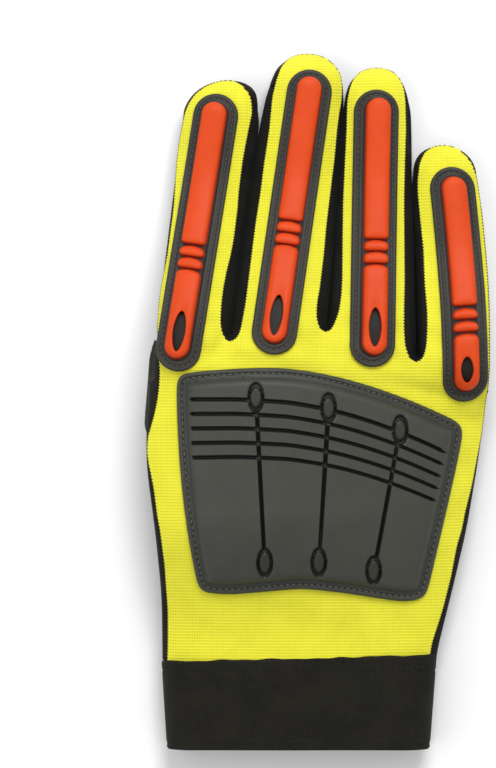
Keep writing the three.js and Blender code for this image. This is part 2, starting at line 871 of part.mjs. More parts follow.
const glove = new THREE.Group();
function addPieces(pieces, prefix = "") {
  for (const [name, solid] of Object.entries(pieces)) glove.add(meshOf(prefix + name, solid));
}
addPieces(clothPieces());
addPieces({ cuff: cuffTube(0, 0).subtract(cuffTube(-WALL, 1)) });
addPieces(patchPieces());
addPieces({ knuckle_guard: knucklePlate() });
for (const guard of FINGER_GUARDS)
  addPieces(
    guardPieces(guard, onBack, gloveBody(GAP), BASE.half, BAR.half),
    "guard_" + guard.name + "_",
  );
addPieces(
  guardPieces(
    THUMB_GUARD,
    underThumb,
    thumbBody(GAP),
    THUMB_GUARD.base_half,
    THUMB_GUARD.bar_half,
  ),
  "guard_thumb_",
);

export default glove;
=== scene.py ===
import math

import bpy
import numpy as np
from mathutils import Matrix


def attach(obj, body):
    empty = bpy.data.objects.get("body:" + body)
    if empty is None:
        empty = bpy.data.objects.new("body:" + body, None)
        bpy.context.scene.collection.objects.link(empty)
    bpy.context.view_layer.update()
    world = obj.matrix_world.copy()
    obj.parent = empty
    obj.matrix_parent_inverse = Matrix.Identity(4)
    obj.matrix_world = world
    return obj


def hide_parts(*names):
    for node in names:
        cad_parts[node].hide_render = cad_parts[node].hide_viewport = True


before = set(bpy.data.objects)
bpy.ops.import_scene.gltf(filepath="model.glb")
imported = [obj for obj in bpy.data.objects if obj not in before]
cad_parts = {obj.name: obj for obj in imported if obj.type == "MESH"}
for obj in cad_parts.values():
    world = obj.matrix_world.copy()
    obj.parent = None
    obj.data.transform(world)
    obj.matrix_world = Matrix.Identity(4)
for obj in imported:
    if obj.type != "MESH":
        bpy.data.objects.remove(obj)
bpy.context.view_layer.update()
bpy.ops.object.select_all(action="DESELECT")
MM = 0.001


# Shape of the stuffed glove
# Lying palm down, its cloth stands up as flattened tubes: one across the hand, one for each finger.
# Tables are in millimetres seen from above; the folded thumb lifts the hand along its thumb side.
HAND_ROWS = [(-94, -56, 43.7), (-70, -56.2, 49.7), (-47, -58.3, 55.1), (-24, -61.4, 59),
             (-13, -61.6, 60.6), (5, -60.2, 62), (26, -58.6, 62.3)]
FINGER_ROWS = {
    "index": ((-31.5, 116.5), [(5, -58.6, -33), (21, -57.7, -31.4), (46, -55.4, -28.3),
                               (81, -51.3, -23.4), (105, -48, -20.9)]),
    "middle": ((-2.9, 125.5), [(8, -32.8, 2.2), (29, -30.1, 3.3), (52, -26.8, 5.8),
                               (98, -19.6, 9.3), (114, -16, 9.9)]),
    "ring": ((22, 120.4), [(5, 4.4, 35.8), (29, 3.9, 35.4), (52, 6.4, 35), (98, 9.8, 34.2),
                           (109, 10.7, 33.4)]),
    "little": ((45.9, 92.7), [(-6, 37.4, 62), (14, 36.4, 62.4), (29, 35.9, 62.4),
                              (52, 35.6, 61.6), (82, 35.1, 58.6)]),
}
FINGER_NAMES = list(FINGER_ROWS)
HAND_POWER = 2.8
FINGER_POWER = 2.4
TIP_POWER = 2.2


def smooth_step(value, start, end):
    t = np.clip((value - start) / (end - start), 0, 1)
    return t * t * (3 - 2 * t)


def smoothed(values, reach):
    kernel = np.exp(-0.5 * (np.arange(-3 * reach, 3 * reach + 1) / reach) ** 2)
    padded = np.concatenate([np.full(3 * reach, values[0]), values, np.full(3 * reach, values[-1])])
    return np.convolve(padded, kernel / kernel.sum(), mode="valid")


def fine_rows(rows):
    """A table's rows as smooth columns, one entry a millimetre."""
    y, left, right = np.array(rows, float).T
    fine = np.arange(y[0], y[-1] + 0.5, 1.0)
    return fine, smoothed(np.interp(fine, y, left), 5), smoothed(np.interp(fine, y, right), 5)


HAND_FINE = fine_rows(HAND_ROWS)
FINGER_FINE = {name: fine_rows(rows) for name, (_, rows) in FINGER_ROWS.items()}


def thumb_lift(x, y, start, end):
    along = smooth_step(y, -88, -40) * (1 - smooth_step(y, 20, 88))
    return 14.7 * along * (1 - smooth_step(x, start, end))


def cloth_levels(x, y):
    """Middle level and half height of the cloth at a point of the hand, or of a finger's middle."""
    under = 1.3 + thumb_lift(x, y, 18, 60)
    over = 19.3 - 2.5 * np.clip((y - 20) / 60, 0, 1) + thumb_lift(x, y, -30, 70)
    return (over + under) / 2, (over - under) / 2


def crotch_line(x):
    return 24.6 - 0.0795 * x - 0.00613 * x * x


def finger_section(name, y):
    """Middle, half width, level and half height of a finger's tube at a distance along it."""
    (tip_x, tip_y), rows = FINGER_ROWS[name]
    fine, left, right = FINGER_FINE[name]
    tip_start = rows[-1][0]
    held = np.clip(y, fine[0], tip_start)
    a, b = np.interp(held, fine, left), np.interp(held, fine, right)
    reach = np.clip((y - tip_start) / (tip_y - tip_start), 0, 1)
    middle = (a + b) / 2 * (1 - reach) + tip_x * reach
    shrink = (1 - reach ** TIP_POWER) ** (1 / TIP_POWER)
    level, half_high = cloth_levels(middle, y)
    return middle, (b - a) / 2 * shrink, level - reach, half_high * (0.25 + 0.75 * shrink)


def superellipse(across, power):
    """How high a rounded section stands at a share of its half width; outside it falls a little."""
    inside = np.clip(np.abs(across), 0, 0.985)
    return (1 - inside ** power) ** (1 / power) - np.clip(np.abs(across) - 0.985, 0, 0.02) * 6


def cloth_height(x, y, side=1):
    """Height of the cloth's outside, on the back of the hand (side 1) or its palm (side -1)."""
    fine, left, right = HAND_FINE
    a, b = np.interp(y, fine, left), np.interp(y, fine, right)
    level, half_high = cloth_levels(x, y)
    past = np.clip(y - crotch_line(x) + 6, 0, None)
    share = superellipse((x - (a + b) / 2) / ((b - a) / 2), HAND_POWER)
    surfaces = [side * level + half_high * share - 0.06 * past ** 2]
    for name in FINGER_NAMES:
        middle, half, level, half_high = finger_section(name, y)
        share = superellipse((x - middle) / np.maximum(half, 0.5), FINGER_POWER)
        root = FINGER_ROWS[name][1][0][0]
        fade = 0.05 * np.clip(root + 8 - y, 0, None) ** 2
        surfaces.append(side * level + half_high * share - fade)
    stack = np.stack(surfaces)
    highest = stack.max(0)
    blend = 0.7
    return side * (highest + blend * np.log(np.exp((stack - highest) / blend).sum(0)) - 0.2)


# Back of the glove
# One panel of hi-vis knit that covers the back of the hand and the tops of the four fingers. Its
# edge is overlocked to the black palm side and to the strips between the fingers.
KNIT_THICK = 1.0
BACK_EDGE_PX = [
    (166.5, 664), (167, 640), (167, 610), (165, 578), (164, 562), (160, 530), (157, 514), (154, 490),
    (151, 474), (148.5, 463), (147, 450), (148, 436), (151, 426), (154, 416), (157, 402), (159, 388),
    (160, 372), (158.5, 350), (157.5, 330), (159, 304), (161, 288), (164, 272), (167, 256), (169, 240),
    (171, 224), (173, 208), (174, 192), (175, 176), (176, 160), (178, 144), (181, 128), (184, 112),
    (188, 102), (195, 92), (206, 84), (220, 79), (232, 78.6), (241, 83), (248, 90), (251.6, 98),
    (252.5, 112), (249, 128), (246, 144), (243, 160), (241, 176), (239, 192), (238, 208), (236, 224),
    (234, 240), (231, 256), (227, 272), (224, 288), (222, 304), (221, 322), (222.5, 333), (226, 340),
    (230, 342), (235, 340), (239.5, 333), (242, 320), (245, 304), (247, 288), (251, 256), (255, 224),
    (260, 192), (264, 160), (269, 128), (270.5, 112), (272, 96), (276, 79), (281, 65), (289, 56),
    (300, 52), (314, 52), (326, 55.5), (335, 63), (341, 72), (343, 84), (342.5, 98), (340, 112),
    (338, 128), (335, 160), (331, 192), (327, 224), (324, 256), (320, 288), (317, 304), (316.5, 318),
    (319, 328), (325, 333), (331, 329.5), (335, 320), (338, 312), (340.5, 296), (341.5, 280),
    (342, 248), (343, 200), (345, 160), (346.6, 128), (347, 112), (347.6, 98), (350, 86), (354, 76.5),
    (362, 69), (372, 66), (384, 66), (394, 69.5), (401, 77), (405, 87), (406.5, 100), (407, 128),
    (406, 160), (405, 200), (405, 248), (405, 280), (404, 312), (404, 330), (405, 346), (409, 358),
    (416, 362.8), (422, 358), (425, 346), (426, 330), (426, 312), (424, 285), (423, 248), (420, 216),
    (418, 192), (418, 178), (420, 162), (425, 151), (434, 145), (446, 143.5), (457, 146), (465, 152),
    (473, 162), (478, 176), (480.5, 192), (483.5, 216), (486, 248), (488, 280), (489, 312), (489, 344),
    (489, 364), (488, 386), (486, 404), (485, 418), (483, 434), (480, 450), (477, 466), (474, 482),
    (470, 498), (466, 514), (463, 530), (458, 546), (455, 562), (452, 578), (448, 594), (444, 610),
    (439, 626), (433, 644), (430, 664),
]


def plan_of(pixels):
    """Millimetres seen from above, from places in the photograph."""
    pixels = np.array(pixels, float)
    return np.stack([(pixels[:, 0] - 316) * 0.36, (400.5 - pixels[:, 1]) * 0.36], 1)


def even_line(points, step, soften=0, closed=False):
    """Points at even steps along a line, with its corners softened."""
    points = np.array(points, float)
    if closed:
        points = np.vstack([points, points[:1]])
    run = np.concatenate([[0], np.cumsum(np.linalg.norm(np.diff(points, axis=0), axis=1))])
    count = max(2, int(round(run[-1] / step)))
    at = np.linspace(0, run[-1], count + 1)
    line = np.stack([np.interp(at, run, points[:, k]) for k in range(points.shape[1])], 1)
    if closed:
        line = line[:-1]
    if soften:
        reach = max(1, int(round(soften / step)))
        if closed:
            wrapped = np.vstack([line[-3 * reach:], line, line[:3 * reach]])
            trimmed = [smoothed(c, reach)[3 * reach:-3 * reach] for c in wrapped.T]
            return np.stack(trimmed, 1)
        return np.stack([smoothed(c, reach) for c in line.T], 1)
    return line


def inside_plan(outline, points):
    """Whether points lie inside a closed outline."""
    found = np.zeros(len(points), bool)
    for (ax, ay), (bx, by) in zip(outline, np.roll(outline, -1, 0)):
        crosses = (ay > points[:, 1]) != (by > points[:, 1])
        with np.errstate(divide="ignore", invalid="ignore"):
            at = ax + (points[:, 1] - ay) * (bx - ax) / (by - ay)
        found ^= crosses & (points[:, 0] < at)
    return found


def nearest_on(outline, points):
    """Each point's nearest place on a closed outline, and how far that is."""
    start, way = outline, np.roll(outline, -1, 0) - outline
    best, place = np.full(len(points), 1e9), points.copy()
    for a, w in zip(start, way):
        t = np.clip(((points - a) @ w) / max(w @ w, 1e-9), 0, 1)
        spot = a + t[:, None] * w
        far = np.linalg.norm(points - spot, axis=1)
        closer = far < best
        best[closer], place[closer] = far[closer], spot[closer]
    return place, best


def vertex_array(piece):
    flat = np.empty(len(piece.data.vertices) * 3)
    piece.data.vertices.foreach_get("co", flat)
    return flat.reshape(-1, 3)


def set_vertices(piece, places):
    piece.data.vertices.foreach_set("co", np.ascontiguousarray(places, float).ravel())
    piece.data.update()


def edge_vertices(piece):
    """Numbers of the vertices on a mesh's open edge, and all its edges as pairs of vertices."""
    mesh = piece.data
    pairs = np.empty(len(mesh.edges) * 2, int)
    mesh.edges.foreach_get("vertices", pairs)
    loops = np.empty(len(mesh.loops), int)
    mesh.loops.foreach_get("edge_index", loops)
    used = np.bincount(loops, minlength=len(mesh.edges))
    pairs = pairs.reshape(-1, 2)
    return np.unique(pairs[used == 1]), pairs


def delete_faces(piece, doomed):
    bpy.ops.object.select_all(action="DESELECT")
    bpy.context.view_layer.objects.active = piece
    bpy.ops.object.mode_set(mode="EDIT")
    bpy.ops.mesh.select_mode(type="FACE")
    bpy.ops.mesh.select_all(action="DESELECT")
    bpy.ops.object.mode_set(mode="OBJECT")
    piece.data.polygons.foreach_set("select", doomed)
    bpy.ops.object.mode_set(mode="EDIT")
    bpy.ops.mesh.delete(type="FACE")
    bpy.ops.object.mode_set(mode="OBJECT")


def face_centres(piece):
    flat = np.empty(len(piece.data.polygons) * 3)
    piece.data.polygons.foreach_get("center", flat)
    return flat.reshape(-1, 3)


def mark(piece, name, values):
    """Gives each vertex a number that the material reads, such as its distance from a seam."""
    marks = piece.data.attributes.new(name, "FLOAT", "POINT")
    marks.data.foreach_set("value", np.ascontiguousarray(values, dtype=np.float32))


def flat_sheet(name, outline, cell, origin=(0, 0)):
    """A flat sheet of fine square cells, cut to an outline seen from above, in millimetres."""
    low = origin + np.floor((outline.min(0) - origin) / cell - 1) * cell
    counts = np.ceil((outline.max(0) + cell - low) / cell).astype(int)
    high = low + counts * cell
    bpy.ops.mesh.primitive_grid_add(x_subdivisions=int(counts[0]), y_subdivisions=int(counts[1]), size=1)
    sheet = bpy.context.object
    sheet.name = name
    places = vertex_array(sheet)
    places[:, :2] = low + (places[:, :2] + 0.5) * (high - low)
    set_vertices(sheet, places)
    delete_faces(sheet, ~inside_plan(outline, face_centres(sheet)[:, :2]))
    places = vertex_array(sheet)
    rim, pairs = edge_vertices(sheet)
    places[rim, :2], _ = nearest_on(outline, places[rim, :2])
    free = np.ones(len(places), bool)
    free[rim] = False
    near = np.zeros(len(places), bool)
    near[rim] = True
    for _ in range(3):
        near[np.unique(pairs[near[pairs].any(1)])] = True
    moving = free & near
    for _ in range(6):
        total, count = np.zeros_like(places), np.zeros(len(places))
        for a, b in ((0, 1), (1, 0)):
            np.add.at(total, pairs[:, a], places[pairs[:, b]])
            np.add.at(count, pairs[:, a], 1)
        places[moving] = total[moving] / count[moving, None]
    set_vertices(sheet, places)
    return sheet


def ripple(x, y):
    """Low soft folds of worn-in cloth, in millimetres: across the finger roots and at the wrist."""
    roots = np.exp(-((y - 20) / 16) ** 2) * np.sin(y * 0.55 + x * 0.12) * 0.35
    wrist = np.exp(-((y + 85) / 7) ** 2) * np.sin(x * 0.36 + 0.6 * np.sin(x * 0.11)) * 0.35
    outer = np.exp(-((x - 56) / 9) ** 2 - ((y + 20) / 34) ** 2) * np.sin(y * 0.33) * 0.4
    return roots + wrist + outer + 0.12 * np.sin(x * 0.21 + y * 0.13) * np.sin(y * 0.17 - x * 0.07)


def thicken(piece, thick, offset=-1):
    """A wall of even thickness made from a sheet, with its open edges closed."""
    wall = piece.modifiers.new("wall", "SOLIDIFY")
    wall.thickness = thick * MM
    wall.offset = offset
    wall.use_rim = True
    bpy.context.view_layer.objects.active = piece
    bpy.ops.object.modifier_apply(modifier=wall.name)


def in_metres(piece):
    set_vertices(piece, vertex_array(piece) * MM)


def finished(piece, material, slot, *nodes, angle=50):
    """Smooth shading, the finish, and the place in the glove."""
    bpy.ops.object.select_all(action="DESELECT")
    piece.select_set(True)
    bpy.context.view_layer.objects.active = piece
    bpy.ops.object.shade_smooth_by_angle(angle=math.radians(angle))
    piece.data.materials.clear()
    piece.data.materials.append(material)
    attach(piece, "root")
    if nodes:
        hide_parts(*nodes)
    bpy.ops.object.select_all(action="DESELECT")


def new_material(name, colour, roughness):
    """A material with its shader, its node tree and a point to read places in millimetres from."""
    material = bpy.data.materials.new(name)
    material.use_nodes = True
    tree = material.node_tree
    shader = tree.nodes["Principled BSDF"]
    shader.inputs["Base Color"].default_value = (*colour, 1)
    shader.inputs["Roughness"].default_value = roughness
    place = tree.nodes.new("ShaderNodeMapping")
    place.inputs["Scale"].default_value = (1000, 1000, 1000)
    tree.links.new(tree.nodes.new("ShaderNodeTexCoord").outputs["Object"], place.inputs["Vector"])
    return material, tree, shader, place.outputs["Vector"]


def math_node(tree, operation, first, second=None):
    node = tree.nodes.new("ShaderNodeMath")
    node.operation = operation
    for socket, value in zip(node.inputs, (first, second)):
        if isinstance(value, (int, float)):
            socket.default_value = value
        elif value is not None:
            tree.links.new(value, socket)
    return node.outputs[0]


def noise_node(tree, place, scale, detail=3, roughness=0.55):
    noise = tree.nodes.new("ShaderNodeTexNoise")
    noise.inputs["Scale"].default_value = scale
    noise.inputs["Detail"].default_value = detail
    noise.inputs["Roughness"].default_value = roughness
    tree.links.new(place, noise.inputs["Vector"])
    return noise.outputs["Fac"]


def ramp_node(tree, value, stops):
    ramp = tree.nodes.new("ShaderNodeValToRGB")
    while len(ramp.color_ramp.elements) < len(stops):
        ramp.color_ramp.elements.new(0.5)
    for element, (at, colour) in zip(ramp.color_ramp.elements, stops):
        element.position = at
        element.color = (*colour, 1)
    tree.links.new(value, ramp.inputs["Fac"])
    return ramp.outputs["Color"]


def bump_node(tree, shader, height, distance, strength=1.0):
    bump = tree.nodes.new("ShaderNodeBump")
    bump.inputs["Distance"].default_value = distance * MM
    bump.inputs["Strength"].default_value = strength
    tree.links.new(height, bump.inputs["Height"])
    tree.links.new(bump.outputs["Normal"], shader.inputs["Normal"])


def value_node(tree, name):
    node = tree.nodes.new("ShaderNodeAttribute")
    node.attribute_name = name
    return node.outputs["Fac"]


def mix_node(tree, share, first, second):
    """A colour mixed from two, each a colour or a socket."""
    node = tree.nodes.new("ShaderNodeMix")
    node.data_type = "RGBA"
    for socket, value in ((node.inputs["Factor"], share), (node.inputs["A"], first), (node.inputs["B"], second)):
        if isinstance(value, tuple):
            socket.default_value = (*value, 1)
        else:
            tree.links.new(value, socket)
    return node.outputs["Result"]


def knit_material():
    """Hi-vis knit: rows of loops 1.07 mm apart in narrow columns, darker in the holes, and a seam
    edge bitten into teeth by its overlock stitches."""
    material, tree, shader, place = new_material("hi_vis_knit", (0.66, 0.63, 0.035), 0.85)
    apart = tree.nodes.new("ShaderNodeSeparateXYZ")
    tree.links.new(place, apart.inputs[0])
    columns = math_node(tree, "SINE", math_node(tree, "MULTIPLY", apart.outputs["X"], 2 * math.pi / 0.87))
    rows = math_node(tree, "SINE", math_node(tree, "MULTIPLY", apart.outputs["Y"], 2 * math.pi / 1.07))
    loops = math_node(tree, "ADD", math_node(tree, "MULTIPLY", columns, 0.22),
                      math_node(tree, "MULTIPLY", rows, 0.28))
    loops = math_node(tree, "ADD", loops, 0.5)
    uneven = math_node(tree, "MULTIPLY", noise_node(tree, place, 0.13, 4), 0.5)
    shade = math_node(tree, "ADD", math_node(tree, "MULTIPLY", loops, 0.5), uneven)
    colour = ramp_node(tree, shade, [(0.2, (0.64, 0.60, 0.026)), (0.5, (0.765, 0.73, 0.036)),
                                     (0.8, (0.82, 0.79, 0.046))])
    slant = math_node(tree, "ADD", math_node(tree, "MULTIPLY", apart.outputs["X"], 0.6), apart.outputs["Y"])
    teeth = math_node(tree, "SINE", math_node(tree, "MULTIPLY", slant, 2 * math.pi / 1.1))
    teeth = math_node(tree, "ADD", math_node(tree, "MULTIPLY", teeth, 0.22), 0.3)
    seam = math_node(tree, "LESS_THAN", value_node(tree, "rim"), teeth)
    tree.links.new(mix_node(tree, seam, colour, (0.03, 0.03, 0.015)), shader.inputs["Base Color"])
    bump_node(tree, shader, loops, 0.3, 0.6)
    shader.inputs["Sheen Weight"].default_value = 0.1
    shader.inputs["Specular IOR Level"].default_value = 0.25
    return material


back_outline = even_line(plan_of(BACK_EDGE_PX), 0.9, soften=1.3)
back = flat_sheet("knit_back", back_outline, 0.85)
rim, _ = edge_vertices(back)
places = vertex_array(back)
x, y = places[:, 0], places[:, 1]
places[:, 2] = cloth_height(x, y) + ripple(x, y)
places[rim, 2] -= 0.25
_, from_seam = nearest_on(back_outline[::2], places[:, :2])
slope_x = (cloth_height(x + 0.4, y) - cloth_height(x - 0.4, y)) / 0.8
slope_y = (cloth_height(x, y + 0.4) - cloth_height(x, y - 0.4)) / 0.8
steepness = np.sqrt(1 + slope_x ** 2 + slope_y ** 2)
set_vertices(back, places)
mark(back, "rim", from_seam * np.clip(steepness, 1, 6))
bpy.ops.object.mode_set(mode="EDIT")
bpy.ops.mesh.select_mode(type="VERT")
bpy.ops.mesh.select_all(action="DESELECT")
bpy.ops.object.mode_set(mode="OBJECT")
back.data.vertices.foreach_set("select", from_seam < 3)
bpy.ops.object.mode_set(mode="EDIT")
bpy.ops.mesh.vertices_smooth(factor=0.5, repeat=5, xaxis=False, yaxis=False)
bpy.ops.object.mode_set(mode="OBJECT")
in_metres(back)
thicken(back, KNIT_THICK)
knit = knit_material()
finished(back, knit, "knit", "back_panel")


# Sides of the glove and the strips between the fingers
# Black synthetic leather stands up round the whole outline, from the palm to under the edge of the
# knit. Between two fingers it is a forked strip of its own, sewn in round the crotch.
SKIN_INSET = 0.5
FORK_MARGIN = 7
FORK_BULGE = (0.3, 1.5)


def outline_path():
    """The glove's outline at the middle of its height, from the wrist round each finger, with the
    half width, power, level and half height of the tube it belongs to."""
    rows = []
    fine, left, right = HAND_FINE

    def hand_side(edges, sequence):
        for at in sequence:
            edge = float(np.interp(at, fine, edges))
            half = float(np.interp(at, fine, right) - np.interp(at, fine, left)) / 2
            rows.append((edge, at, half, HAND_POWER, edge * 0.97, -1))

    hand_side(left, np.arange(-94, 17, 1.5))
    for number, name in enumerate(FINGER_NAMES):
        (tip_x, tip_y), table = FINGER_ROWS[name]
        tip_start = table[-1][0]
        middle, _, _, _ = finger_section(name, np.array([30.0]))
        low_left = 22 if number == 0 else crotch_line((left_x := finger_section(name, np.array([22.0]))[0][0]
                                                       - 14)) + 1.5
        low_right = 20 if number == 3 else crotch_line(finger_section(name, np.array([22.0]))[0][0] + 14) + 1.5
        for at in np.arange(low_left, tip_start, 1.5):
            m, w, _, _ = finger_section(name, np.array([at]))
            rows.append((m[0] - w[0], at, w[0], FINGER_POWER, m[0], number))
        for angle in np.linspace(0, math.pi, 41):
            reach = math.sin(angle) ** (2 / TIP_POWER)
            at = tip_start + (tip_y - tip_start) * reach
            m, w, _, _ = finger_section(name, np.array([min(at, tip_y - 0.02)]))
            side = -1 if angle < math.pi / 2 else 1
            rows.append((m[0] + side * w[0], at, 9, FINGER_POWER, m[0], number))
        for at in np.arange(tip_start, low_right, -1.5):
            m, w, _, _ = finger_section(name, np.array([at]))
            rows.append((m[0] + w[0], at, w[0], FINGER_POWER, m[0], number))
    hand_side(right, np.arange(17, -95, -1.5))
    return np.array(rows)


path = outline_path()
run = np.concatenate([[0], np.cumsum(np.linalg.norm(np.diff(path[:, :2], axis=0), axis=1))])
fine_at = np.arange(0, run[-1], 0.1)
fine_path = [smoothed(np.interp(fine_at, run, column), reach)
             for column, reach in zip(path.T[:5], (5, 5, 60, 60, 40))]
turning = np.unwrap(np.arctan2(np.gradient(fine_path[1]), np.gradient(fine_path[0])))
measure = fine_at + 2.2 * np.concatenate([[0], np.cumsum(np.abs(np.diff(turning)))])
even = np.arange(0, measure[-1], 0.5)
spot_x, spot_y, half_wide, power, tube_x = (np.interp(even, measure, column) for column in fine_path)
spot = np.stack([spot_x, spot_y], 1)
turn_at = np.interp(even, measure, turning)
outward = np.stack([-np.sin(turn_at), np.cos(turn_at)], 1)
finger_number = path[np.searchsorted(run, np.interp(even, measure, fine_at), side="right") - 1, 5].astype(int)
tube_level, tube_half = cloth_levels(tube_x, spot_y)
tip_share = np.zeros(len(spot))
for name in FINGER_NAMES:
    (tip_x, tip_y), table = FINGER_ROWS[name]
    near_tip = (spot_y > table[-1][0]) & (np.abs(spot_x - tip_x) < 18)
    tip_share[near_tip] = np.clip((spot_y - table[-1][0]) / (tip_y - table[-1][0]), 0, 0.985)[near_tip]
shrink = (1 - tip_share ** TIP_POWER) ** (1 / TIP_POWER)
tube_level = tube_level - tip_share
tube_half = tube_half * (0.25 + 0.75 * shrink)
_, to_knit = nearest_on(back_outline, spot)
under_knit = np.clip(1 - (smoothed(to_knit, 3) + 1.4) / half_wide, 0.3, 0.97)
wall_top = (1 - under_knit ** power) ** (1 / power)
under_palm = np.clip(1 - 6 / half_wide, 0.3, 0.97)
wall_foot = -(1 - under_palm ** power) ** (1 / power)


def wall_places(index, share, stand_off):
    """Places on the side wall, from numbers along the outline and shares of the wall's height."""
    inset = (1 - np.abs(share) ** power[index]) ** (1 / power[index])
    offset = stand_off - half_wide[index] * (1 - inset)
    plan = spot[index] + outward[index] * offset[:, None]
    level = tube_level[index] + (tube_half[index] + stand_off) * share
    x, y = plan.T
    over = cloth_height(x, y) + ripple(x, y) - 0.6
    under = np.minimum(cloth_height(x, y, -1) + 0.5 * ripple(x, y) - stand_off, over)
    level = np.clip(level, under, over)
    turned_in = smooth_step(half_wide[index] * (1 - inset), 0.3, 2.2)
    return np.column_stack([plan, level + (np.where(share > 0, over, under) - level) * turned_in])


def side_wall(name, first, last, stand_off, bulge=None, foot=None, columns=18):
    """A strip of the side wall between two places along the outline, up to under the knit's edge."""
    rows = last - first
    foot = wall_foot if foot is None else foot
    bpy.ops.mesh.primitive_grid_add(x_subdivisions=columns, y_subdivisions=rows, size=1)
    wall = bpy.context.object
    wall.name = name
    places = vertex_array(wall)
    across = places[:, 0] + 0.5
    index = first + np.round((places[:, 1] + 0.5) * rows).astype(int)
    share = foot[index] + (wall_top - foot)[index] * across
    plain = wall_places(index, share, stand_off)
    if bulge is not None:
        plain[:, :2] += outward[index] * (bulge[index] * 4 * across * (1 - across))[:, None]
    set_vertices(wall, plain)
    return wall


def leather_material(name, dark, light, roughness, grain):
    """Matte synthetic leather: a fine broken grain and a slow brownish change of tone."""
    material, tree, shader, place = new_material(name, light, roughness)
    fine = noise_node(tree, place, grain, 5, 0.65)
    slow = noise_node(tree, place, 0.09, 3, 0.5)
    mixed = math_node(tree, "ADD", math_node(tree, "MULTIPLY", fine, 0.6), math_node(tree, "MULTIPLY", slow, 0.4))
    tree.links.new(ramp_node(tree, mixed, [(0.34, dark), (0.68, light)]), shader.inputs["Base Color"])
    bump_node(tree, shader, fine, 0.3, 0.5)
    shader.inputs["Specular IOR Level"].default_value = 0.14
    shader.inputs["Sheen Weight"].default_value = 0.02
    return material


black_leather = leather_material("black_synthetic_leather", (0.005, 0.0045, 0.003),
                                 (0.019, 0.017, 0.0125), 0.8, 1.6)
brown_suede = leather_material("black_brown_suede", (0.007, 0.0045, 0.0035),
                               (0.022, 0.014, 0.0105), 0.92, 2.4)


def along_outline(number, side, y):
    """The place along the outline nearest a height on a finger's left or right side."""
    middle = finger_section(FINGER_NAMES[number], np.array([float(y)]))[0][0]
    fits = (finger_number == number) & ((spot[:, 0] - middle) * side > 0)
    candidates = np.where(fits)[0]
    return int(candidates[np.argmin(np.abs(spot[candidates, 1] - y))])


strip_ends = []
for number in range(3):
    tips = [FINGER_ROWS[FINGER_NAMES[k]][0][1] - FORK_MARGIN for k in (number, number + 1)]
    strip_ends.append((along_outline(number, 1, tips[0]), along_outline(number + 1, -1, tips[1])))
# Painted shade: the strips between the fingers are the same black leather as the palm, given a darker copy of it for
# the shade they lie in.
fork_leather_in_shade = leather_material("black_leather_shaded_copy", (0.003, 0.003, 0.0025),
                                (0.011, 0.011, 0.0095), 0.8, 1.6)
for number, (first, last) in enumerate(strip_ends):
    strip_rows = np.arange(first, last + 1)
    facing = []
    for finger in (number, number + 1):
        edge = strip_rows[finger_number[strip_rows] == finger]
        edge = edge[np.argsort(spot_y[edge])]
        facing.append(np.interp(spot_y, spot_y[edge], spot_x[edge]))
    half_gap = (facing[1] - facing[0]) / 2
    from_end = np.minimum(np.arange(len(spot)) - first, last - np.arange(len(spot))) * 0.5
    bulge = np.clip(half_gap + SKIN_INSET + 0.1, *FORK_BULGE) * smooth_step(from_end, 0, 12)
    strip = side_wall("fourchette_strip_%d" % (number + 1), first, last, -SKIN_INSET, bulge)
    in_metres(strip)
    thicken(strip, 1.0)
    finished(strip, fork_leather_in_shade, "leather", "fourchette_%d" % (number + 1))


# Palm side
# The palm and the undersides of the fingers are one panel of black synthetic leather. It turns up
# round the outer edges and the fingertips, where it is sewn to the knit.
THUMB_HEEL = np.array([-45.0, -64.0])
THUMB_ANGLE = math.radians(58.2)
THUMB_FORWARD = np.array([math.cos(THUMB_ANGLE), math.sin(THUMB_ANGLE)])
THUMB_SIDE = np.array([THUMB_FORWARD[1], -THUMB_FORWARD[0]])
THUMB_ROWS = np.array([(-9, 7), (6, 12.6), (25, 14.8), (60, 14.3), (80, 13.2)])
THUMB_START, THUMB_TIP = -9, 92
THUMB_BOTTOM = 4.2
THUMB_HIGH = 10.2


def thumb_tube(along):
    """Half width and half height of the thumb's tube at a distance along it."""
    reach = np.clip((along - 80) / (THUMB_TIP - 80), 0, 1)
    shrink = (1 - reach ** TIP_POWER) ** (1 / TIP_POWER)
    return np.interp(along, *THUMB_ROWS.T) * shrink, THUMB_HIGH / 2 * (0.25 + 0.75 * shrink)


def thumb_section(x, y):
    """Where a place lies along and across the thumb (in half widths), its level and half height."""
    from_heel = np.stack([x, y], -1) - THUMB_HEEL
    along, across = from_heel @ THUMB_FORWARD, from_heel @ THUMB_SIDE
    half, half_high = thumb_tube(along)
    beyond = (along < THUMB_START) | (along > THUMB_TIP)
    return along, np.where(beyond, 9, across / np.maximum(half, 0.5)), THUMB_BOTTOM + THUMB_HIGH / 2, half_high


palm_outline = even_line(spot - outward * 1.6, 1.1)
palm = flat_sheet("leather_palm", palm_outline, 1.0)
places = vertex_array(palm)
x, y = places[:, 0], places[:, 1]
places[:, 2] = cloth_height(x, y, -1) + 0.5 * ripple(x, y)
set_vertices(palm, places)
centres = face_centres(palm)
_, share, level, half_high = thumb_section(centres[:, 0], centres[:, 1])
inside = (np.abs(share) < 0.9) & (np.abs(centres[:, 2] - level) < 0.8 * half_high * superellipse(share, HAND_POWER))
delete_faces(palm, inside)
in_metres(palm)
bpy.ops.object.mode_set(mode="EDIT")
bpy.ops.mesh.select_all(action="SELECT")
bpy.ops.mesh.flip_normals()
bpy.ops.object.mode_set(mode="OBJECT")
thicken(palm, 1.0)
turned_up = []
edges = [0, *[k for ends in strip_ends for k in ends], len(spot) - 1]
for number, (first, last) in enumerate(zip(edges[0::2], edges[1::2])):
    wall = side_wall("palm_side_%d" % number, first, last, -SKIN_INSET)
    in_metres(wall)
    thicken(wall, 1.0)
    turned_up.append(wall)
bpy.ops.object.select_all(action="DESELECT")
for wall in [*turned_up, palm]:
    wall.select_set(True)
bpy.context.view_layer.objects.active = palm
bpy.ops.object.join()
finished(palm, black_leather, "leather", "palm_panel")


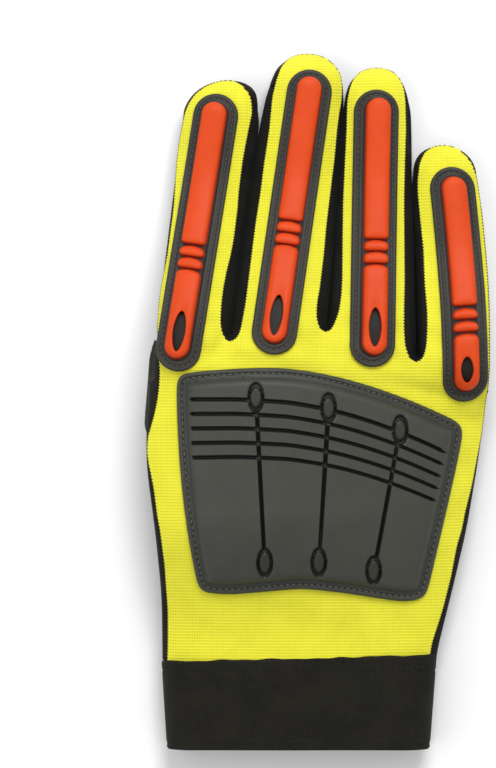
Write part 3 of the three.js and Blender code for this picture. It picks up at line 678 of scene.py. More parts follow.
# Leather patches
# A second layer of leather is sewn on where the palm wears: a cap under each fingertip, one patch
# under the finger roots, one under the heel of the hand, and a saddle over the edge by the thumb.
def thread_material(name, colour):
    """Sewing thread: matte, with a faint twist."""
    material, tree, shader, place = new_material(name, colour, 0.8)
    twist = noise_node(tree, place, 4.0, 2)
    darker = tuple(0.6 * channel for channel in colour)
    tree.links.new(ramp_node(tree, twist, [(0.35, darker), (0.65, colour)]), shader.inputs["Base Color"])
    bump_node(tree, shader, twist, 0.1, 0.4)
    return material


grey_thread = thread_material("grey_thread", (0.16, 0.15, 0.13))
dark_thread = thread_material("dark_thread", (0.010, 0.010, 0.008))
dull_thread = thread_material("dull_grey_thread", (0.095, 0.092, 0.077))


def stitches(name, lines, material, slot, pitch=2.4, long=1.7, wide=0.34):
    """Rows of sewn dashes, all copies of one, along lines of places in millimetres."""
    bpy.ops.mesh.primitive_uv_sphere_add(segments=6, ring_count=4, radius=0.5)
    dash = bpy.context.object
    dash.name = name
    shape = vertex_array(dash)
    faces = [list(face.vertices) for face in dash.data.polygons]
    places, sides = [], []
    for line in lines:
        run = np.concatenate([[0], np.cumsum(np.linalg.norm(np.diff(line, axis=0), axis=1))])
        at = np.arange(pitch / 2, run[-1], pitch)
        middle = np.stack([np.interp(at, run, column) for column in line.T], 1)
        ahead = np.stack([np.interp(at + 0.4, run, column) for column in line.T], 1)
        forward = ahead - np.stack([np.interp(at - 0.4, run, column) for column in line.T], 1)
        forward /= np.maximum(np.linalg.norm(forward, axis=1), 1e-6)[:, None]
        beside = np.cross(forward, (0, 0, 1))
        beside /= np.maximum(np.linalg.norm(beside, axis=1), 1e-6)[:, None]
        upward = np.cross(beside, forward)
        for m, f, b, u in zip(middle, forward, beside, upward):
            offset = len(places) * len(shape)
            places.append(m + shape @ np.array([f * long, b * wide, u * wide]))
            sides.extend([[v + offset for v in face] for face in faces])
    dash.data.clear_geometry()
    dash.data.from_pydata(np.vstack(places) * MM, [], sides)
    dash.data.update()
    finished(dash, material, slot)


def palm_patch(name, node, outline, material, inner_rows, cell=1.0):
    """A patch under the palm, with rows of stitches inside its edge and along further lines."""
    patch = flat_sheet(name, outline, cell)
    places = vertex_array(patch)
    x, y = places[:, 0], places[:, 1]
    _, from_edge = nearest_on(outline, places[:, :2])
    swell = 0.25 * smooth_step(from_edge, 0, 1.2)
    places[:, 2] = np.maximum(cloth_height(x, y, -1) + 0.5 * ripple(x, y) - 0.75 - swell, 0.05)
    set_vertices(patch, places)
    in_metres(patch)
    bpy.ops.object.mode_set(mode="EDIT")
    bpy.ops.mesh.select_all(action="SELECT")
    bpy.ops.mesh.flip_normals()
    bpy.ops.object.mode_set(mode="OBJECT")
    thicken(patch, 0.75)
    finished(patch, material, "leather", node)
    lines = []
    for row in inner_rows:
        line = even_line(row, 0.8)
        level = cloth_height(line[:, 0], line[:, 1], -1) + 0.5 * ripple(line[:, 0], line[:, 1]) - 1.05
        lines.append(np.column_stack([line, np.maximum(level, 0.12)]))
    stitches(name + "_stitches", lines, grey_thread, "leather")


def drawn_in(outline, inset):
    """A closed outline moved inwards by a distance."""
    way = np.roll(outline, -1, 0) - np.roll(outline, 1, 0)
    way /= np.maximum(np.linalg.norm(way, axis=1), 1e-9)[:, None]
    normal = np.column_stack([-way[:, 1], way[:, 0]])
    area = np.sum(outline[:, 0] * np.roll(outline[:, 1], -1) - outline[:, 1] * np.roll(outline[:, 0], -1))
    return outline + normal * inset * (1 if area > 0 else -1)


PALM_PATCH = [(-52, -8), (-29, 0), (-9, 7), (12, -2), (22, -22), (24, -45), (50, -45), (54, -30), (55.5, -14),
              (50, 2), (36, 8), (20, 17), (3, 18), (-14, 22), (-31, 15), (-44, 17), (-54, 8)]
HEEL_PATCH = [(-13, -90), (-23, -66), (-12, -50), (12, -47), (47, -47.5), (41, -90)]
for name, node, corners in (("roots_patch", "palm_patch", PALM_PATCH), ("heel_patch_leather", "heel_patch", HEEL_PATCH)):
    outline = even_line(corners, 0.8, soften=3.2, closed=True)
    rows = [drawn_in(outline, 1.6), drawn_in(outline, 4.2)]
    palm_patch(name, node, outline, black_leather, rows)
for name in FINGER_NAMES:
    (tip_x, tip_y), _ = FINGER_ROWS[name]
    low = tip_y - 36
    sides = np.arange(low, tip_y - 0.7, 0.6)
    middle, half, _, _ = finger_section(name, sides)
    half = np.minimum(half * 0.93, half - 0.9)
    outline = np.vstack([np.column_stack([middle + half, sides]), np.column_stack([middle - half, sides])[::-1]])
    outline = even_line(outline, 0.7, soften=0.8, closed=True)
    rows = []
    for up in (2, 4.2, 6.4):
        m, h, _, _ = finger_section(name, np.array([low + up]))
        rows.append([(m[0] - h[0] * 0.86, low + up), (m[0] + h[0] * 0.86, low + up)])
    palm_patch("cap_" + name, "tip_patch_" + name, outline, black_leather, rows, cell=0.8)

on_thumb_side = spot_x < -50
first = int(np.argmin(np.abs(spot_y + 15) + 99 * ~on_thumb_side))
last = int(np.argmin(np.abs(spot_y - 22) + 99 * ~on_thumb_side))
taper = smooth_step(spot_y, -15, 0) * (1 - 0.6 * smooth_step(spot_y, 12, 22))
saddle_foot = wall_top * (1 - taper) - 0.55 * taper
saddle = side_wall("edge_saddle", first, last, 0.5, foot=saddle_foot)
bpy.ops.object.mode_set(mode="EDIT")
bpy.ops.mesh.select_all(action="SELECT")
bpy.ops.mesh.vertices_smooth(factor=0.5, repeat=12)
bpy.ops.object.mode_set(mode="OBJECT")
in_metres(saddle)
thicken(saddle, 0.7)
edge_leather = leather_material("edge_leather", (0.024, 0.023, 0.018), (0.044, 0.044, 0.035), 0.85, 1.2)
finished(saddle, edge_leather, "suede", "thumb_saddle")
sewn = np.arange(first + 8, last - 2)
row = wall_places(sewn, (saddle_foot + (wall_top - saddle_foot) * 0.3)[sewn], 0.55)
stitches("saddle_stitches", [even_line(row, 0.6, soften=3)], grey_thread, "suede")


# Moulded guards along the fingers
# Each finger carries a grey rubber strip with a stitched flange round it and orange bars moulded on
# top: a long bar to the fingertip, two arched ribs, and a short bar with an oval hole.
GUARDS = {
    "index": dict(start=(-50.6, 10.4), end=(-34.9, 110.6), bow=0, aside=-0.7, lower_bar=(4.7, 36),
                  rib_b=(37.4, 40.3), rib_a=(41.8, 44.6), tip_bar=(46.3, 98.2), oval=(7.1, 21.7)),
    "middle": dict(start=(-16.2, 16.4), end=(-1.2, 119.3), bow=0, aside=-0.2, lower_bar=(4.4, 39),
                   rib_b=(40.2, 43.3), rib_a=(44.6, 47.6), tip_bar=(49, 101.3), oval=(6.9, 21.5)),
    "ring": dict(start=(19.9, 11.9), end=(22, 112.1), bow=0, aside=0.8, lower_bar=(4.5, 36.2),
                 rib_b=(37.5, 40.7), rib_a=(42, 45), tip_bar=(46.3, 97.2), oval=(7.4, 21.4)),
    "little": dict(start=(53.5, -0.5), end=(48.4, 84.2), bow=1.3, aside=0.6, lower_bar=(4, 23.5),
                   rib_b=(25.2, 28), rib_a=(29.8, 32.6), tip_bar=(34.6, 81.2), oval=(6.8, 16.1)),
}
BASE_HALF = 8.15
BAR_HALF = 4.4
RIB_ARCH = 1.1
# Profiles: how far in from the outline, and how high above the cloth.
FLANGE_PROFILE = [(0, -0.3), (0, 1.2), (0.15, 1.6), (0.45, 1.85), (1.1, 1.9), (1.4, 1.66), (1.9, 1.58),
                  (2.3, 1.66), (2.8, 1.78), (3.4, 1.78), (3.7, 1.5), (4.4, 1.45), (6.2, 1.45)]
BAR_PROFILE = [(4.4, 1.2), (-0.45, 1.2), (-0.45, 1.6), (-0.1, 1.7), (0, 2.5), (0.12, 3.0), (0.35, 3.4), (0.75, 3.75), (1.35, 3.98), (2.2, 4.12),
               (3.2, 4.18), (4.4, 4.2)]
RIB_PROFILE = [(1.3, 1.2), (-0.45, 1.2), (-0.45, 1.55), (-0.1, 1.65), (0, 2.4), (0.12, 2.9), (0.35, 3.3), (0.7, 3.6), (1.0, 3.75), (1.3, 3.8)]


def bar_ring(low, high, half, corners, inset, height, side_points=42, end_points=4, arc_points=12):
    """One ring of a bar that lies along its own line, drawn in from the bar's outline."""
    ring = []
    quarter = np.linspace(0, math.pi / 2, arc_points + 1)
    corner_low, corner_high = max(corners[0], inset), max(corners[1], inset)
    up = np.linspace(low + corner_low, high - corner_high, side_points)
    for turned in (1, -1):
        corner = corner_high if turned > 0 else corner_low
        end = high - corner if turned > 0 else low + corner
        radius = corner - inset
        ring.append(np.column_stack([np.full(side_points, turned * (half - inset)), up[::turned]]))
        arc = np.column_stack([half - corner + radius * np.cos(quarter), radius * np.sin(quarter)])
        across = np.linspace(half - corner, corner - half, end_points + 2)[1:-1]
        flat = np.column_stack([across, np.full(end_points, radius)])
        back_arc = arc[::-1] * (-1, 1)
        ring.append(np.vstack([arc[1:], flat, back_arc[:-1]]) * turned + (0, end))
    ring = np.vstack(ring)
    return np.column_stack([ring, np.full(len(ring), height)])


def oval_ring(across, along, half, tall, height):
    """Where rays from an oval's middle towards the places given cross it."""
    angle = np.arctan2(along, across)
    reach = ((np.abs(np.cos(angle)) / half) ** 1.8 + (np.abs(np.sin(angle)) / tall) ** 1.8) ** (-1 / 1.8)
    return np.column_stack([reach * np.cos(angle), reach * np.sin(angle), np.full(len(angle), height)])


def moulding(name, rings, pierced=False, foot=0):
    """A moulded piece: a disc raised and inset ring by ring, its rings then moved to their places.
    The rings of its foot, and what lies low deep inside it, are marked for painted shade: a darker colour that stands
    in for the shadow in the gaps and hollows round the bars."""
    count = len(rings[0])
    bpy.ops.mesh.primitive_circle_add(vertices=count, fill_type="NGON", radius=1)
    piece = bpy.context.object
    piece.name = name
    bpy.ops.object.mode_set(mode="EDIT")
    bpy.ops.mesh.select_mode(type="FACE")
    bpy.ops.mesh.select_all(action="SELECT")
    bpy.ops.mesh.extrude_region_move(TRANSFORM_OT_translate={"value": (0, 0, 1)})
    step = 0.9 / len(rings)
    for _ in rings[2:]:
        bpy.ops.mesh.inset(thickness=step, depth=0)
    if pierced:
        bpy.ops.mesh.delete(type="FACE")
    bpy.ops.object.mode_set(mode="OBJECT")
    flat = vertex_array(piece)
    number = np.round(np.arctan2(flat[:, 1], flat[:, 0]) / (2 * math.pi) * count).astype(int) % count
    inward = (1 - np.hypot(flat[:, 0], flat[:, 1])) / step * math.cos(math.pi / count)
    ring = np.where(flat[:, 2] > 0.5, 1 + np.round(inward).astype(int), 0)
    places = np.array(rings)[ring, number]
    set_vertices(piece, places)
    # Painted shade: the foot rings and the low rings deep inside are marked so that the material darkens them,
    # standing in for the shadow between bars and ribs and over the base under them.
    painted_shade = np.where(ring >= 4, np.clip((1.85 - places[:, 2]) / 0.35, 0, 1), 0)
    mark(piece, "recess_shade", np.where(ring < foot, 1, painted_shade))
    bpy.ops.object.mode_set(mode="EDIT")
    bpy.ops.mesh.select_all(action="SELECT")
    bpy.ops.mesh.remove_doubles(threshold=0.001)
    bpy.ops.mesh.normals_make_consistent(inside=False)
    bpy.ops.object.mode_set(mode="OBJECT")
    return piece


def arched(rings, low, high, half):
    """Bows the upper end of a bar upwards between two places along it."""
    for ring in rings:
        weight = smooth_step(ring[:, 1], low, high)
        ring[:, 1] += weight * (RIB_ARCH * (1 - (ring[:, 0] / half) ** 2) - 0.4)
    return rings


def bar_profile(half):
    return [(half, BAR_PROFILE[0][1])] + BAR_PROFILE[1:-1] + [(half, BAR_PROFILE[-1][1])]


def full_bar(low, high, half, corners, profile, **points):
    return [bar_ring(low, high, half, corners, inset, height, **points) for inset, height in profile]


def pierced_bar(low, high, half, oval):
    """The short bar: rings in from its outline, then down through its oval hole."""
    middle, tall, wide = (oval[0] + oval[1]) / 2, (oval[1] - oval[0]) / 2, half - 2.2
    rings = full_bar(low, high, half, (half, 1.2), bar_profile(half)[:9])
    outer = rings[-1]
    across, along = outer[:, 0], outer[:, 1] - middle
    lip = oval_ring(across, along, wide + 0.5, tall + 0.5, 4.08) + (0, middle, 0)
    for share in (0.3, 0.6):
        between = outer + (lip - outer) * share
        between[:, 2] = 4.08
        rings.append(between)
    rings.append(lip)
    for outset, height in ((0.2, 3.95), (0.03, 3.6), (-0.1, 1.2)):
        rings.append(oval_ring(across, along, wide + outset, tall + outset, height) + (0, middle, 0))
    return rings


def guard_frame(start, end, bow):
    """Turns places along a guard's line into millimetres seen from above."""
    start, whole = np.array(start, float), np.array(end, float) - np.array(start, float)
    length = np.linalg.norm(whole)
    forward = whole / length
    sideways = np.array([forward[1], -forward[0]])

    def to_plan(across, along):
        bent = across + bow * 4 * along * (length - along) / length ** 2
        return start + np.outer(along, forward) + np.outer(bent, sideways)

    return to_plan, length


def laid(places, to_plan, follow=0.85):
    """Places on a flat moulded piece, laid along the cloth: level with its middle line, hugging its
    sides."""
    plan = to_plan(places[:, 0], places[:, 1])
    spine = to_plan(np.zeros(len(places)), places[:, 1])
    over, middle = cloth_height(plan[:, 0], plan[:, 1]), cloth_height(spine[:, 0], spine[:, 1])
    drop = 2.2 * np.tanh(np.clip(middle - over, -1, None) / 2.2)
    return np.column_stack([plan, middle - follow * drop + places[:, 2]])


def lay(piece, to_plan):
    set_vertices(piece, laid(vertex_array(piece), to_plan) * MM)


def rubber_material(name, dark, light, painted_shade, roughness, gloss, ovals=()):
    """Moulded rubber: satin, with a faint mottle and a fine moulded skin. Painted shade darkens the marked recesses
    and a ring round each oval given, and the middle of each oval is darker."""
    material, tree, shader, place = new_material(name, light, roughness)
    slow = noise_node(tree, place, 0.12, 4, 0.6)
    fine = noise_node(tree, place, 3.0, 2, 0.5)
    mixed = math_node(tree, "ADD", math_node(tree, "MULTIPLY", slow, 0.7), math_node(tree, "MULTIPLY", fine, 0.3))
    colour = ramp_node(tree, mixed, [(0.3, dark), (0.7, light)])
    recess_shade = value_node(tree, "recess_shade")
    for x, y, half, tall in ovals:
        shape = tree.nodes.new("ShaderNodeMapping")
        shape.vector_type = "TEXTURE"
        shape.inputs["Location"].default_value = (x, y, 0)
        shape.inputs["Scale"].default_value = (half, tall, 1e6)
        tree.links.new(place, shape.inputs["Vector"])
        length = tree.nodes.new("ShaderNodeVectorMath")
        length.operation = "LENGTH"
        tree.links.new(shape.outputs["Vector"], length.inputs[0])
        from_ring = math_node(tree, "ABSOLUTE", math_node(tree, "SUBTRACT", length.outputs["Value"], 0.92))
        recess_shade = math_node(tree, "MAXIMUM", recess_shade, math_node(tree, "LESS_THAN", from_ring, 0.19))
        inner = math_node(tree, "LESS_THAN", length.outputs["Value"], 0.85)
        colour = mix_node(tree, math_node(tree, "MULTIPLY", inner, 0.8), colour, (0.027, 0.024, 0.016))
    # Painted shade: the marked recesses and the oval rings are mixed towards the shade colour.
    tree.links.new(mix_node(tree, recess_shade, colour, painted_shade), shader.inputs["Base Color"])
    bump_node(tree, shader, fine, 0.12, 0.3)
    shader.inputs["Specular IOR Level"].default_value = gloss
    return material


# The third colour of each rubber is painted shade for its gaps, grooves and recesses.
grey_rubber = rubber_material("dark_grey_rubber", (0.028, 0.027, 0.021), (0.038, 0.037, 0.029),
                              (0.008, 0.007, 0.005), 0.55, 0.3)
orange_rubber = rubber_material("orange_rubber", (0.60, 0.052, 0.005), (0.68, 0.064, 0.007),
                                (0.22, 0.012, 0.004), 0.5, 0.2)


def guard_pieces(finger, guard, base_half, bar_half, place_piece, place_line):
    """A guard's grey base with its stitches, and its orange bars and ribs."""
    to_plan, length = guard_frame(guard["start"], guard["end"], guard["bow"])

    def bar_to_plan(x, y):
        return to_plan(x + guard["aside"], y)

    profile = [(base_half, -0.3)] + FLANGE_PROFILE + [(base_half, 1.45)]
    base = moulding("guard_base_" + finger, full_bar(0, length, base_half, (base_half, base_half), profile))
    place_piece(base, to_plan)
    finished(base, grey_rubber, "grey_rubber", "guard_%s_base" % finger)
    seam = bar_ring(0, length, base_half, (base_half, base_half), 1.9, 1.66)
    stitches("guard_stitches_" + finger, [place_line(np.vstack([seam, seam[:1]]), to_plan)], dull_thread,
             "grey_rubber", 2.0, 1.5, 0.42)
    for part, corners in (("tip_bar", (1.2, bar_half)), ("middle_bar", (1.2, 1.2))):
        if part in guard:
            rings = full_bar(*guard[part], bar_half, corners, bar_profile(bar_half))
            bar = moulding("%s_%s" % (part, finger), rings, foot=4)
            place_piece(bar, bar_to_plan)
            finished(bar, orange_rubber, "orange_rubber", "guard_%s_%s" % (finger, part))
    low, high = guard["lower_bar"]
    rings = arched(pierced_bar(low, high, bar_half, guard["oval"]), high - 6, high, bar_half)
    bar = moulding("lower_bar_" + finger, rings, True, foot=4)
    place_piece(bar, bar_to_plan)
    finished(bar, orange_rubber, "orange_rubber", "guard_%s_lower_bar" % finger)
    for part in ("rib_a", "rib_b", "rib_c", "rib_d"):
        if part in guard:
            low, high = guard[part]
            rings = full_bar(low, high, bar_half, (1.1, 1.1), RIB_PROFILE, side_points=4, end_points=16, arc_points=6)
            rib = moulding("%s_%s" % (part, finger), arched(rings, low - 0.3, high, bar_half), foot=4)
            place_piece(rib, bar_to_plan)
            finished(rib, orange_rubber, "orange_rubber", "guard_%s_%s" % (finger, part))


for finger, guard in GUARDS.items():
    guard_pieces(finger, guard, BASE_HALF, BAR_HALF, lay, laid)


# Knuckle plate
# A thick dark grey rubber plate over the knuckles: a stitched flange, a raised field with five
# curved grooves, and three channels that join ovals near its upper and lower edges.
def plate_top(x):
    right = 18.4 * np.clip((x + 16) / 65, 0, None) ** 1.7
    return 11.7 - right - 1.8 * (np.clip(-16 - x, 0, None) / 30) ** 2


def groove_guide(x):
    """The line that the grooves follow, near the plate's upper edge."""
    return 11 - 20.2 * np.clip((x + 12) / 63.5, 0, None) ** 1.6


PLATE_LOWER = np.array([(-52, -68.4), (-31, -69.8), (-5, -67.5), (10, -69.2), (32, -72.7), (54, -69)])
PLATE_CHANNELS = [((-21.7, 1.1), (-18.5, -58)), ((4.2, -2.6), (0.8, -57.9)), ((30, -10.6), (20.5, -61))]


def plate_outline():
    shares = np.linspace(0, 1, 80)
    left = np.column_stack([-50 + 8 * shares ** 2.2, np.zeros(80)])
    right = np.column_stack([53.4 - 13.8 * shares ** 1.2, np.zeros(80)])
    for side in (left, right):
        top = plate_top(side[:, 0])
        low = np.interp(side[:, 0], *PLATE_LOWER.T)
        side[:, 1] = top + (low - top) * shares
    xs = np.linspace(left[0, 0], right[0, 0], 90)[1:-1]
    top_edge = np.column_stack([xs, plate_top(xs)])
    xs = np.linspace(right[-1, 0], left[-1, 0], 90)[1:-1]
    low_edge = np.column_stack([xs, np.interp(xs, *PLATE_LOWER.T)])
    loop = np.vstack([top_edge, right, low_edge, left[::-1]])
    return even_line(loop, 0.5, soften=3.1, closed=True)


GROOVE_FIRST = (10.6, 12.1)
GROOVE_APART = (5.2, 4.75)
PLATE_CELL = GROOVE_APART[0] / 12
PLATE_COLUMNS = [-54, -47 * PLATE_CELL, 6 * PLATE_CELL, 58 * PLATE_CELL, 56]


def channel_shift(u, y):
    """How far a channel's slant carries a place sideways from its even column."""
    shifts = [np.zeros(len(u))]
    for ((tx, ty), (bx, by)), column in zip(PLATE_CHANNELS, PLATE_COLUMNS[1:]):
        shifts.append(bx + (tx - bx) * np.clip((y - by) / (ty - by), -0.1, 1.1) - column)
    shifts.append(np.zeros(len(u)))
    moved = np.zeros(len(u))
    for k, (low, high) in enumerate(zip(PLATE_COLUMNS, PLATE_COLUMNS[1:])):
        t = (u - low) / (high - low)
        moved = np.where((t >= 0) & (t < 1), shifts[k] * (1 - t) + shifts[k + 1] * t, moved)
    return moved


def groove_spread(x):
    """How close the grooves lie at a place across the plate, compared with its left side."""
    return 1 + (GROOVE_APART[1] / GROOVE_APART[0] - 1) * np.clip((x + 46.5) / 93, -0.1, 1.1)


def first_groove(x):
    """How far the first groove lies below its guide."""
    return GROOVE_FIRST[0] + (GROOVE_FIRST[1] - GROOVE_FIRST[0]) * smooth_step(x, -32, 0)


def to_plate_rows(x, y):
    """Coordinates in which the grooves are rows and the channels columns."""
    u = x
    for _ in range(6):
        u = x - channel_shift(u, y)
    down = groove_guide(x) - y
    below = down - first_groove(x)
    above_first = down * GROOVE_FIRST[0] / first_groove(x)
    return u, -np.where(below < 0, above_first, GROOVE_FIRST[0] + below / groove_spread(x))


def from_plate_rows(u, w):
    x = u
    for _ in range(4):
        below = -w - GROOVE_FIRST[0]
        above_first = -w * first_groove(x) / GROOVE_FIRST[0]
        y = groove_guide(x) - np.where(below < 0, above_first, first_groove(x) + below * groove_spread(x))
        x = u + channel_shift(u, y)
    return x, y


plate_edge = plate_outline()
plate = flat_sheet("knuckle_plate", np.column_stack(to_plate_rows(*plate_edge.T)), PLATE_CELL,
                   np.array([0, -GROOVE_FIRST[0]]))
places = vertex_array(plate)
x, y = from_plate_rows(places[:, 0], places[:, 1])
places[:, 0], places[:, 1] = x, y
_, inward = nearest_on(plate_edge[::2], places[:, :2])
height = np.interp(inward, [0, 0.2, 0.6, 1.35, 1.6, 2.2, 2.45, 2.9, 3.3, 4.0, 4.6, 5.3, 6.2, 12],
                   [1.0, 1.7, 2.0, 2.1, 1.7, 1.7, 2.1, 2.1, 2.0, 2.9, 3.7, 4.15, 4.35, 4.6])
channel = np.clip(1 - (np.abs(inward - 1.9) / 0.55) ** 4, 0, 1)
channel = np.maximum(channel, 0.45 * np.clip(1 - (np.abs(inward - 3.3) / 0.7) ** 2, 0, 1))
GROOVE_HALF = 0.78
cut = np.zeros(len(x))
for number in range(5):
    line = groove_guide(x) - first_groove(x) - number * GROOVE_APART[0] * groove_spread(x)
    fade = smooth_step(x, -47.6, -42) * (1 - smooth_step(x, 43 - number * 0.9, 47.6 - number * 0.9))
    half = GROOVE_HALF * (0.35 + 0.65 * fade)
    cut = np.maximum(cut, np.sqrt(fade) * np.clip(1 - (np.abs(y - line) / half) ** 4, 0, 1))
islands = np.zeros(len(x), bool)
for (tx, ty), (bx, by) in PLATE_CHANNELS:
    t = np.clip((y - by) / (ty - by), 0, 1)
    far = np.abs(x - (bx + (tx - bx) * t))
    cut = np.maximum(cut, np.clip(1 - (far / (GROOVE_HALF - 0.1)) ** 4, 0, 1) * (y > by) * (y < ty))
for channel_ends in PLATE_CHANNELS:
    for cx, cy in channel_ends:
        ring = np.hypot((x - cx) / 2.6, (y - cy) / 4.85)
        groove = 0.8 * np.clip(1 - (np.abs(ring - 0.92) / 0.26) ** 2, 0, 1)
        cut = np.where(ring < 0.9, groove, np.maximum(groove, cut))
        islands |= ring < 0.75
inside = smooth_step(inward, 4.2, 5.2)
places[:, 2] = cloth_height(x, y) + height - 1.9 * cut * inside - 0.35 * islands
set_vertices(plate, places)
# Painted shade: the stitch channel and the grooves outside the ovals are marked so that the material darkens them
# towards near black, standing in for the shadow in these narrow cuts.
near_oval = np.zeros(len(x), bool)
for cx, cy in [place for ends in PLATE_CHANNELS for place in ends]:
    near_oval |= np.hypot((x - cx) / 2.6, (y - cy) / 4.85) < 1.02
mark(plate, "recess_shade", np.maximum(channel * 0.85, np.clip(cut * 1.6, 0, 1) * inside * ~near_oval))
in_metres(plate)
bpy.context.view_layer.objects.active = plate
thicken(plate, 1.3)
ovals = [(*place, 2.6, 4.85) for ends in PLATE_CHANNELS for place in ends]
# The plate rubber's third colour is painted shade for its grooves, channel and the rings round its ovals.
plate_rubber = rubber_material("grey_plate_rubber", (0.041, 0.043, 0.034), (0.049, 0.052, 0.042),
                               (0.006, 0.006, 0.005), 0.5, 0.3, ovals)
finished(plate, plate_rubber, "grey_rubber", "knuckle_guard", angle=60)
seam = even_line(drawn_in(plate_edge, 1.9), 0.6, soften=0.8, closed=True)
seam = np.vstack([seam, seam[:1]])
level = cloth_height(seam[:, 0], seam[:, 1]) + 1.85
stitches("plate_stitches", [np.column_stack([seam, level])], grey_thread, "grey_rubber", 2.2, 1.5, 0.42)


# Cuff
# A wide black elastic band sewn round the wrist end, folded over at its hem.
CUFF_ROWS = [(-126.1, -53.9, 41.4), (-94.3, -55.8, 43.9)]
bpy.ops.mesh.primitive_grid_add(x_subdivisions=220, y_subdivisions=44, size=1)
cuff = bpy.context.object
cuff.name = "elastic_cuff"
places = vertex_array(cuff)
around, up = places[:, 0] + 0.5, places[:, 1] + 0.5
y = -126.1 + (126.1 - 92.8) * up
left = np.interp(y, [-126.1, -94.3], [-53.9, -55.8])
right = np.interp(y, [-126.1, -94.3], [41.4, 43.9])
flat = (right - left) - 19.6
total = 2 * flat + math.pi * 19.6
s = around * total
x = np.zeros(len(s))
z = np.zeros(len(s))
turn = math.pi * 9.8
on_top = s < flat
x[on_top] = (left + 9.8 + s)[on_top]
z[on_top] = 9.8
at_right = (s >= flat) & (s < flat + turn)
angle = (s - flat) / 9.8
x[at_right] = (right - 9.8 + 9.8 * np.sin(angle))[at_right]
z[at_right] = (9.8 * np.cos(angle))[at_right]
below = (s >= flat + turn) & (s < 2 * flat + turn)
x[below] = (right - 9.8 - (s - flat - turn))[below]
z[below] = -9.8
at_left = s >= 2 * flat + turn
angle = (s - 2 * flat - turn) / 9.8
x[at_left] = (left + 9.8 - 9.8 * np.sin(angle))[at_left]
z[at_left] = (-9.8 * np.cos(angle))[at_left]
edge_high = -94.1 + 2.5 * (x + 55) / 100 + 0.16 * np.sin(x * 0.33) + 0.1 * np.sin(x * 0.71 + 1)
wavy = -126.1 + (126.1 + edge_high) * up
hem = np.exp(-((wavy + 124.2) / 0.5) ** 2) + 0.7 * np.exp(-((wavy + 97.6) / 0.5) ** 2)
rolled = np.clip(1 - (wavy + 126.1) / 0.8, 0, 1) ** 2 + np.clip(1 - (edge_high - wavy) / 0.8, 0, 1) ** 2
shrink = 1 - (0.35 * hem + 0.5 * rolled) / 9.8
middle = (left + right) / 2
z = z * shrink
soft = 0.25 * np.sin(x * 0.13 + wavy * 0.05) * np.sin(wavy * 0.16) * (z > 0)
set_vertices(cuff, np.column_stack([middle + (x - middle) * (1 - (1 - shrink) * 0.2), wavy, z + 9.8 + soft]))
in_metres(cuff)
bpy.ops.object.mode_set(mode="EDIT")
bpy.ops.mesh.select_all(action="SELECT")
bpy.ops.mesh.remove_doubles(threshold=0.0001)
bpy.ops.mesh.normals_make_consistent(inside=False)
bpy.ops.object.mode_set(mode="OBJECT")
thicken(cuff, 1.5)
elastic = leather_material("black_elastic", (0.008, 0.0075, 0.0055), (0.017, 0.016, 0.0115), 0.9, 1.1)
finished(cuff, elastic, "elastic", "cuff")
xs = np.arange(-50, 39, 0.7)
rows = []
for drop, slope in ((1.6, 0.025), (4.2, 0.012)):
    rows.append(np.column_stack([xs, -94.1 + slope * (xs + 55) - drop + 1.0, np.full(len(xs), 19.65)]))
rows.append(np.column_stack([xs, np.full(len(xs), -122.6), np.full(len(xs), 19.65)]))
stitches("cuff_stitches", rows, dark_thread, "elastic", 1.9, 1.3, 0.3)


# Thumb
# A tube of black-brown suede that lies folded under the palm, with a guard of its own beneath.
bpy.ops.mesh.primitive_uv_sphere_add(segments=72, ring_count=92, radius=1)
thumb = bpy.context.object
thumb.name = "suede_thumb"
places = vertex_array(thumb)
share = np.arccos(np.clip(-places[:, 2], -1, 1)) / math.pi
angle = np.arctan2(places[:, 1], places[:, 0])
pole = np.hypot(places[:, 0], places[:, 1]) < 1e-4
along = THUMB_START + (THUMB_TIP - THUMB_START) * np.clip((share - 1 / 92) / (1 - 2 / 92), 0, 1)
half, half_high = thumb_tube(along)
eased = 2 / HAND_POWER
across = np.sign(np.cos(angle)) * np.abs(np.cos(angle)) ** eased * half * ~pole
lifted = np.sign(np.sin(angle)) * np.abs(np.sin(angle)) ** eased * half_high * ~pole
plan = THUMB_HEEL + np.outer(along, THUMB_FORWARD) + np.outer(across, THUMB_SIDE)
creased = 0.3 * np.sin(along * 0.5 + across * 0.2) * np.exp(-((along - 58) / 12) ** 2)
set_vertices(thumb, np.column_stack([plan, THUMB_BOTTOM + THUMB_HIGH / 2 + lifted + creased * ~pole]))
centres = face_centres(thumb)
palm_level = cloth_height(centres[:, 0], centres[:, 1], -1)
delete_faces(thumb, centres[:, 2] > palm_level + 0.3)
bpy.ops.object.mode_set(mode="EDIT")
bpy.ops.mesh.select_all(action="SELECT")
bpy.ops.mesh.normals_make_consistent(inside=False)
bpy.ops.object.mode_set(mode="OBJECT")
in_metres(thumb)
thicken(thumb, 1.2)
finished(thumb, brown_suede, "suede", "thumb")

THUMB_GUARD = dict(start=(-51, -69.3), end=(-1.2, 11), bow=2.4, aside=0, lower_bar=(4.8, 33.1), rib_d=(34.6, 37.4),
                   rib_c=(39, 41.8), middle_bar=(43.4, 66.6), rib_b=(67.8, 70.6), rib_a=(72.2, 75),
                   tip_bar=(76.6, 89.6), oval=(9, 23))


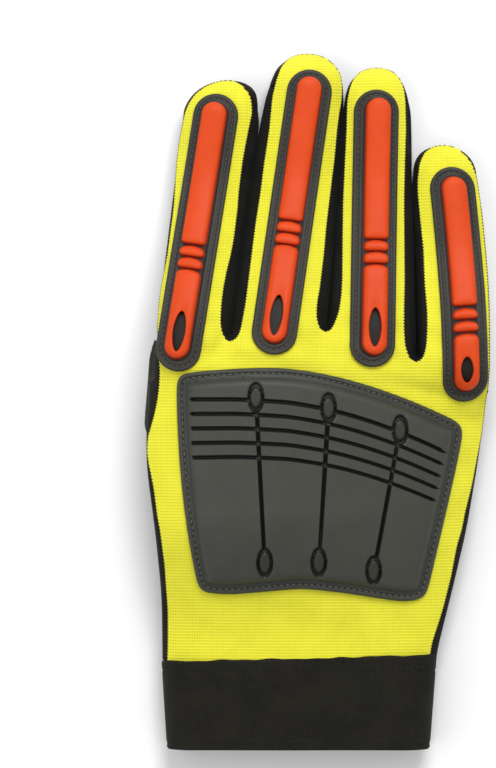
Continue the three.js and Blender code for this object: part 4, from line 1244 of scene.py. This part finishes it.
def thumb_under(plan):
    _, across, level, half_high = thumb_section(plan[:, 0], plan[:, 1])
    return level - half_high * superellipse(across, HAND_POWER)


def laid_under(places, to_plan, follow=0.7):
    """Places on a flat moulded piece, laid the other way up against the underside of the thumb."""
    plan = to_plan(places[:, 0], places[:, 1])
    rise = thumb_under(plan) - THUMB_BOTTOM
    hug = follow * 2.0 * np.tanh(np.clip(rise, 0, None) / 2.0)
    return np.column_stack([plan, np.maximum(THUMB_BOTTOM + hug - places[:, 2], 0)])


def lay_under(piece, to_plan):
    set_vertices(piece, laid_under(vertex_array(piece), to_plan) * MM)
    bpy.context.view_layer.objects.active = piece
    bpy.ops.object.mode_set(mode="EDIT")
    bpy.ops.mesh.select_all(action="SELECT")
    bpy.ops.mesh.flip_normals()
    bpy.ops.object.mode_set(mode="OBJECT")


guard_pieces("thumb", THUMB_GUARD, 8.6, 5.2, lay_under, laid_under)


# Floor, light and camera
# A plain pale floor under soft studio light; the camera looks straight down from far above.
bpy.ops.mesh.primitive_plane_add(size=6)
floor = bpy.context.object
floor.name = "floor"
floor_material = new_material("pale_floor", (0.95, 0.95, 0.95), 0.9)[0]
floor.data.materials.append(floor_material)

world = bpy.data.worlds.new("studio")
bpy.context.scene.world = world
world.use_nodes = True
world.node_tree.nodes["Background"].inputs["Color"].default_value = (1, 1, 1, 1)
world.node_tree.nodes["Background"].inputs["Strength"].default_value = 0.55
for name, spot_at, size, energy in (("key", (0.15, 0.75, 1.0), 0.6, 11), ("fill", (-0.7, -0.2, 0.9), 1.0, 3)):
    bpy.ops.object.light_add(type="AREA", location=spot_at)
    lamp = bpy.context.object
    lamp.name = name
    lamp.data.size = size
    lamp.data.energy = energy
    lamp.rotation_euler = (-(lamp.location.normalized())).to_track_quat("-Z", "Y").to_euler()

bpy.ops.object.camera_add(location=(-0.0245, 0.0059, 1.5))
camera = bpy.context.object
camera.data.sensor_fit = "VERTICAL"
camera.data.sensor_height = 36
camera.data.lens = 36 * (1.5 - 0.02) / 0.2765
bpy.context.scene.camera = camera
bpy.context.scene.view_settings.view_transform = "Standard"
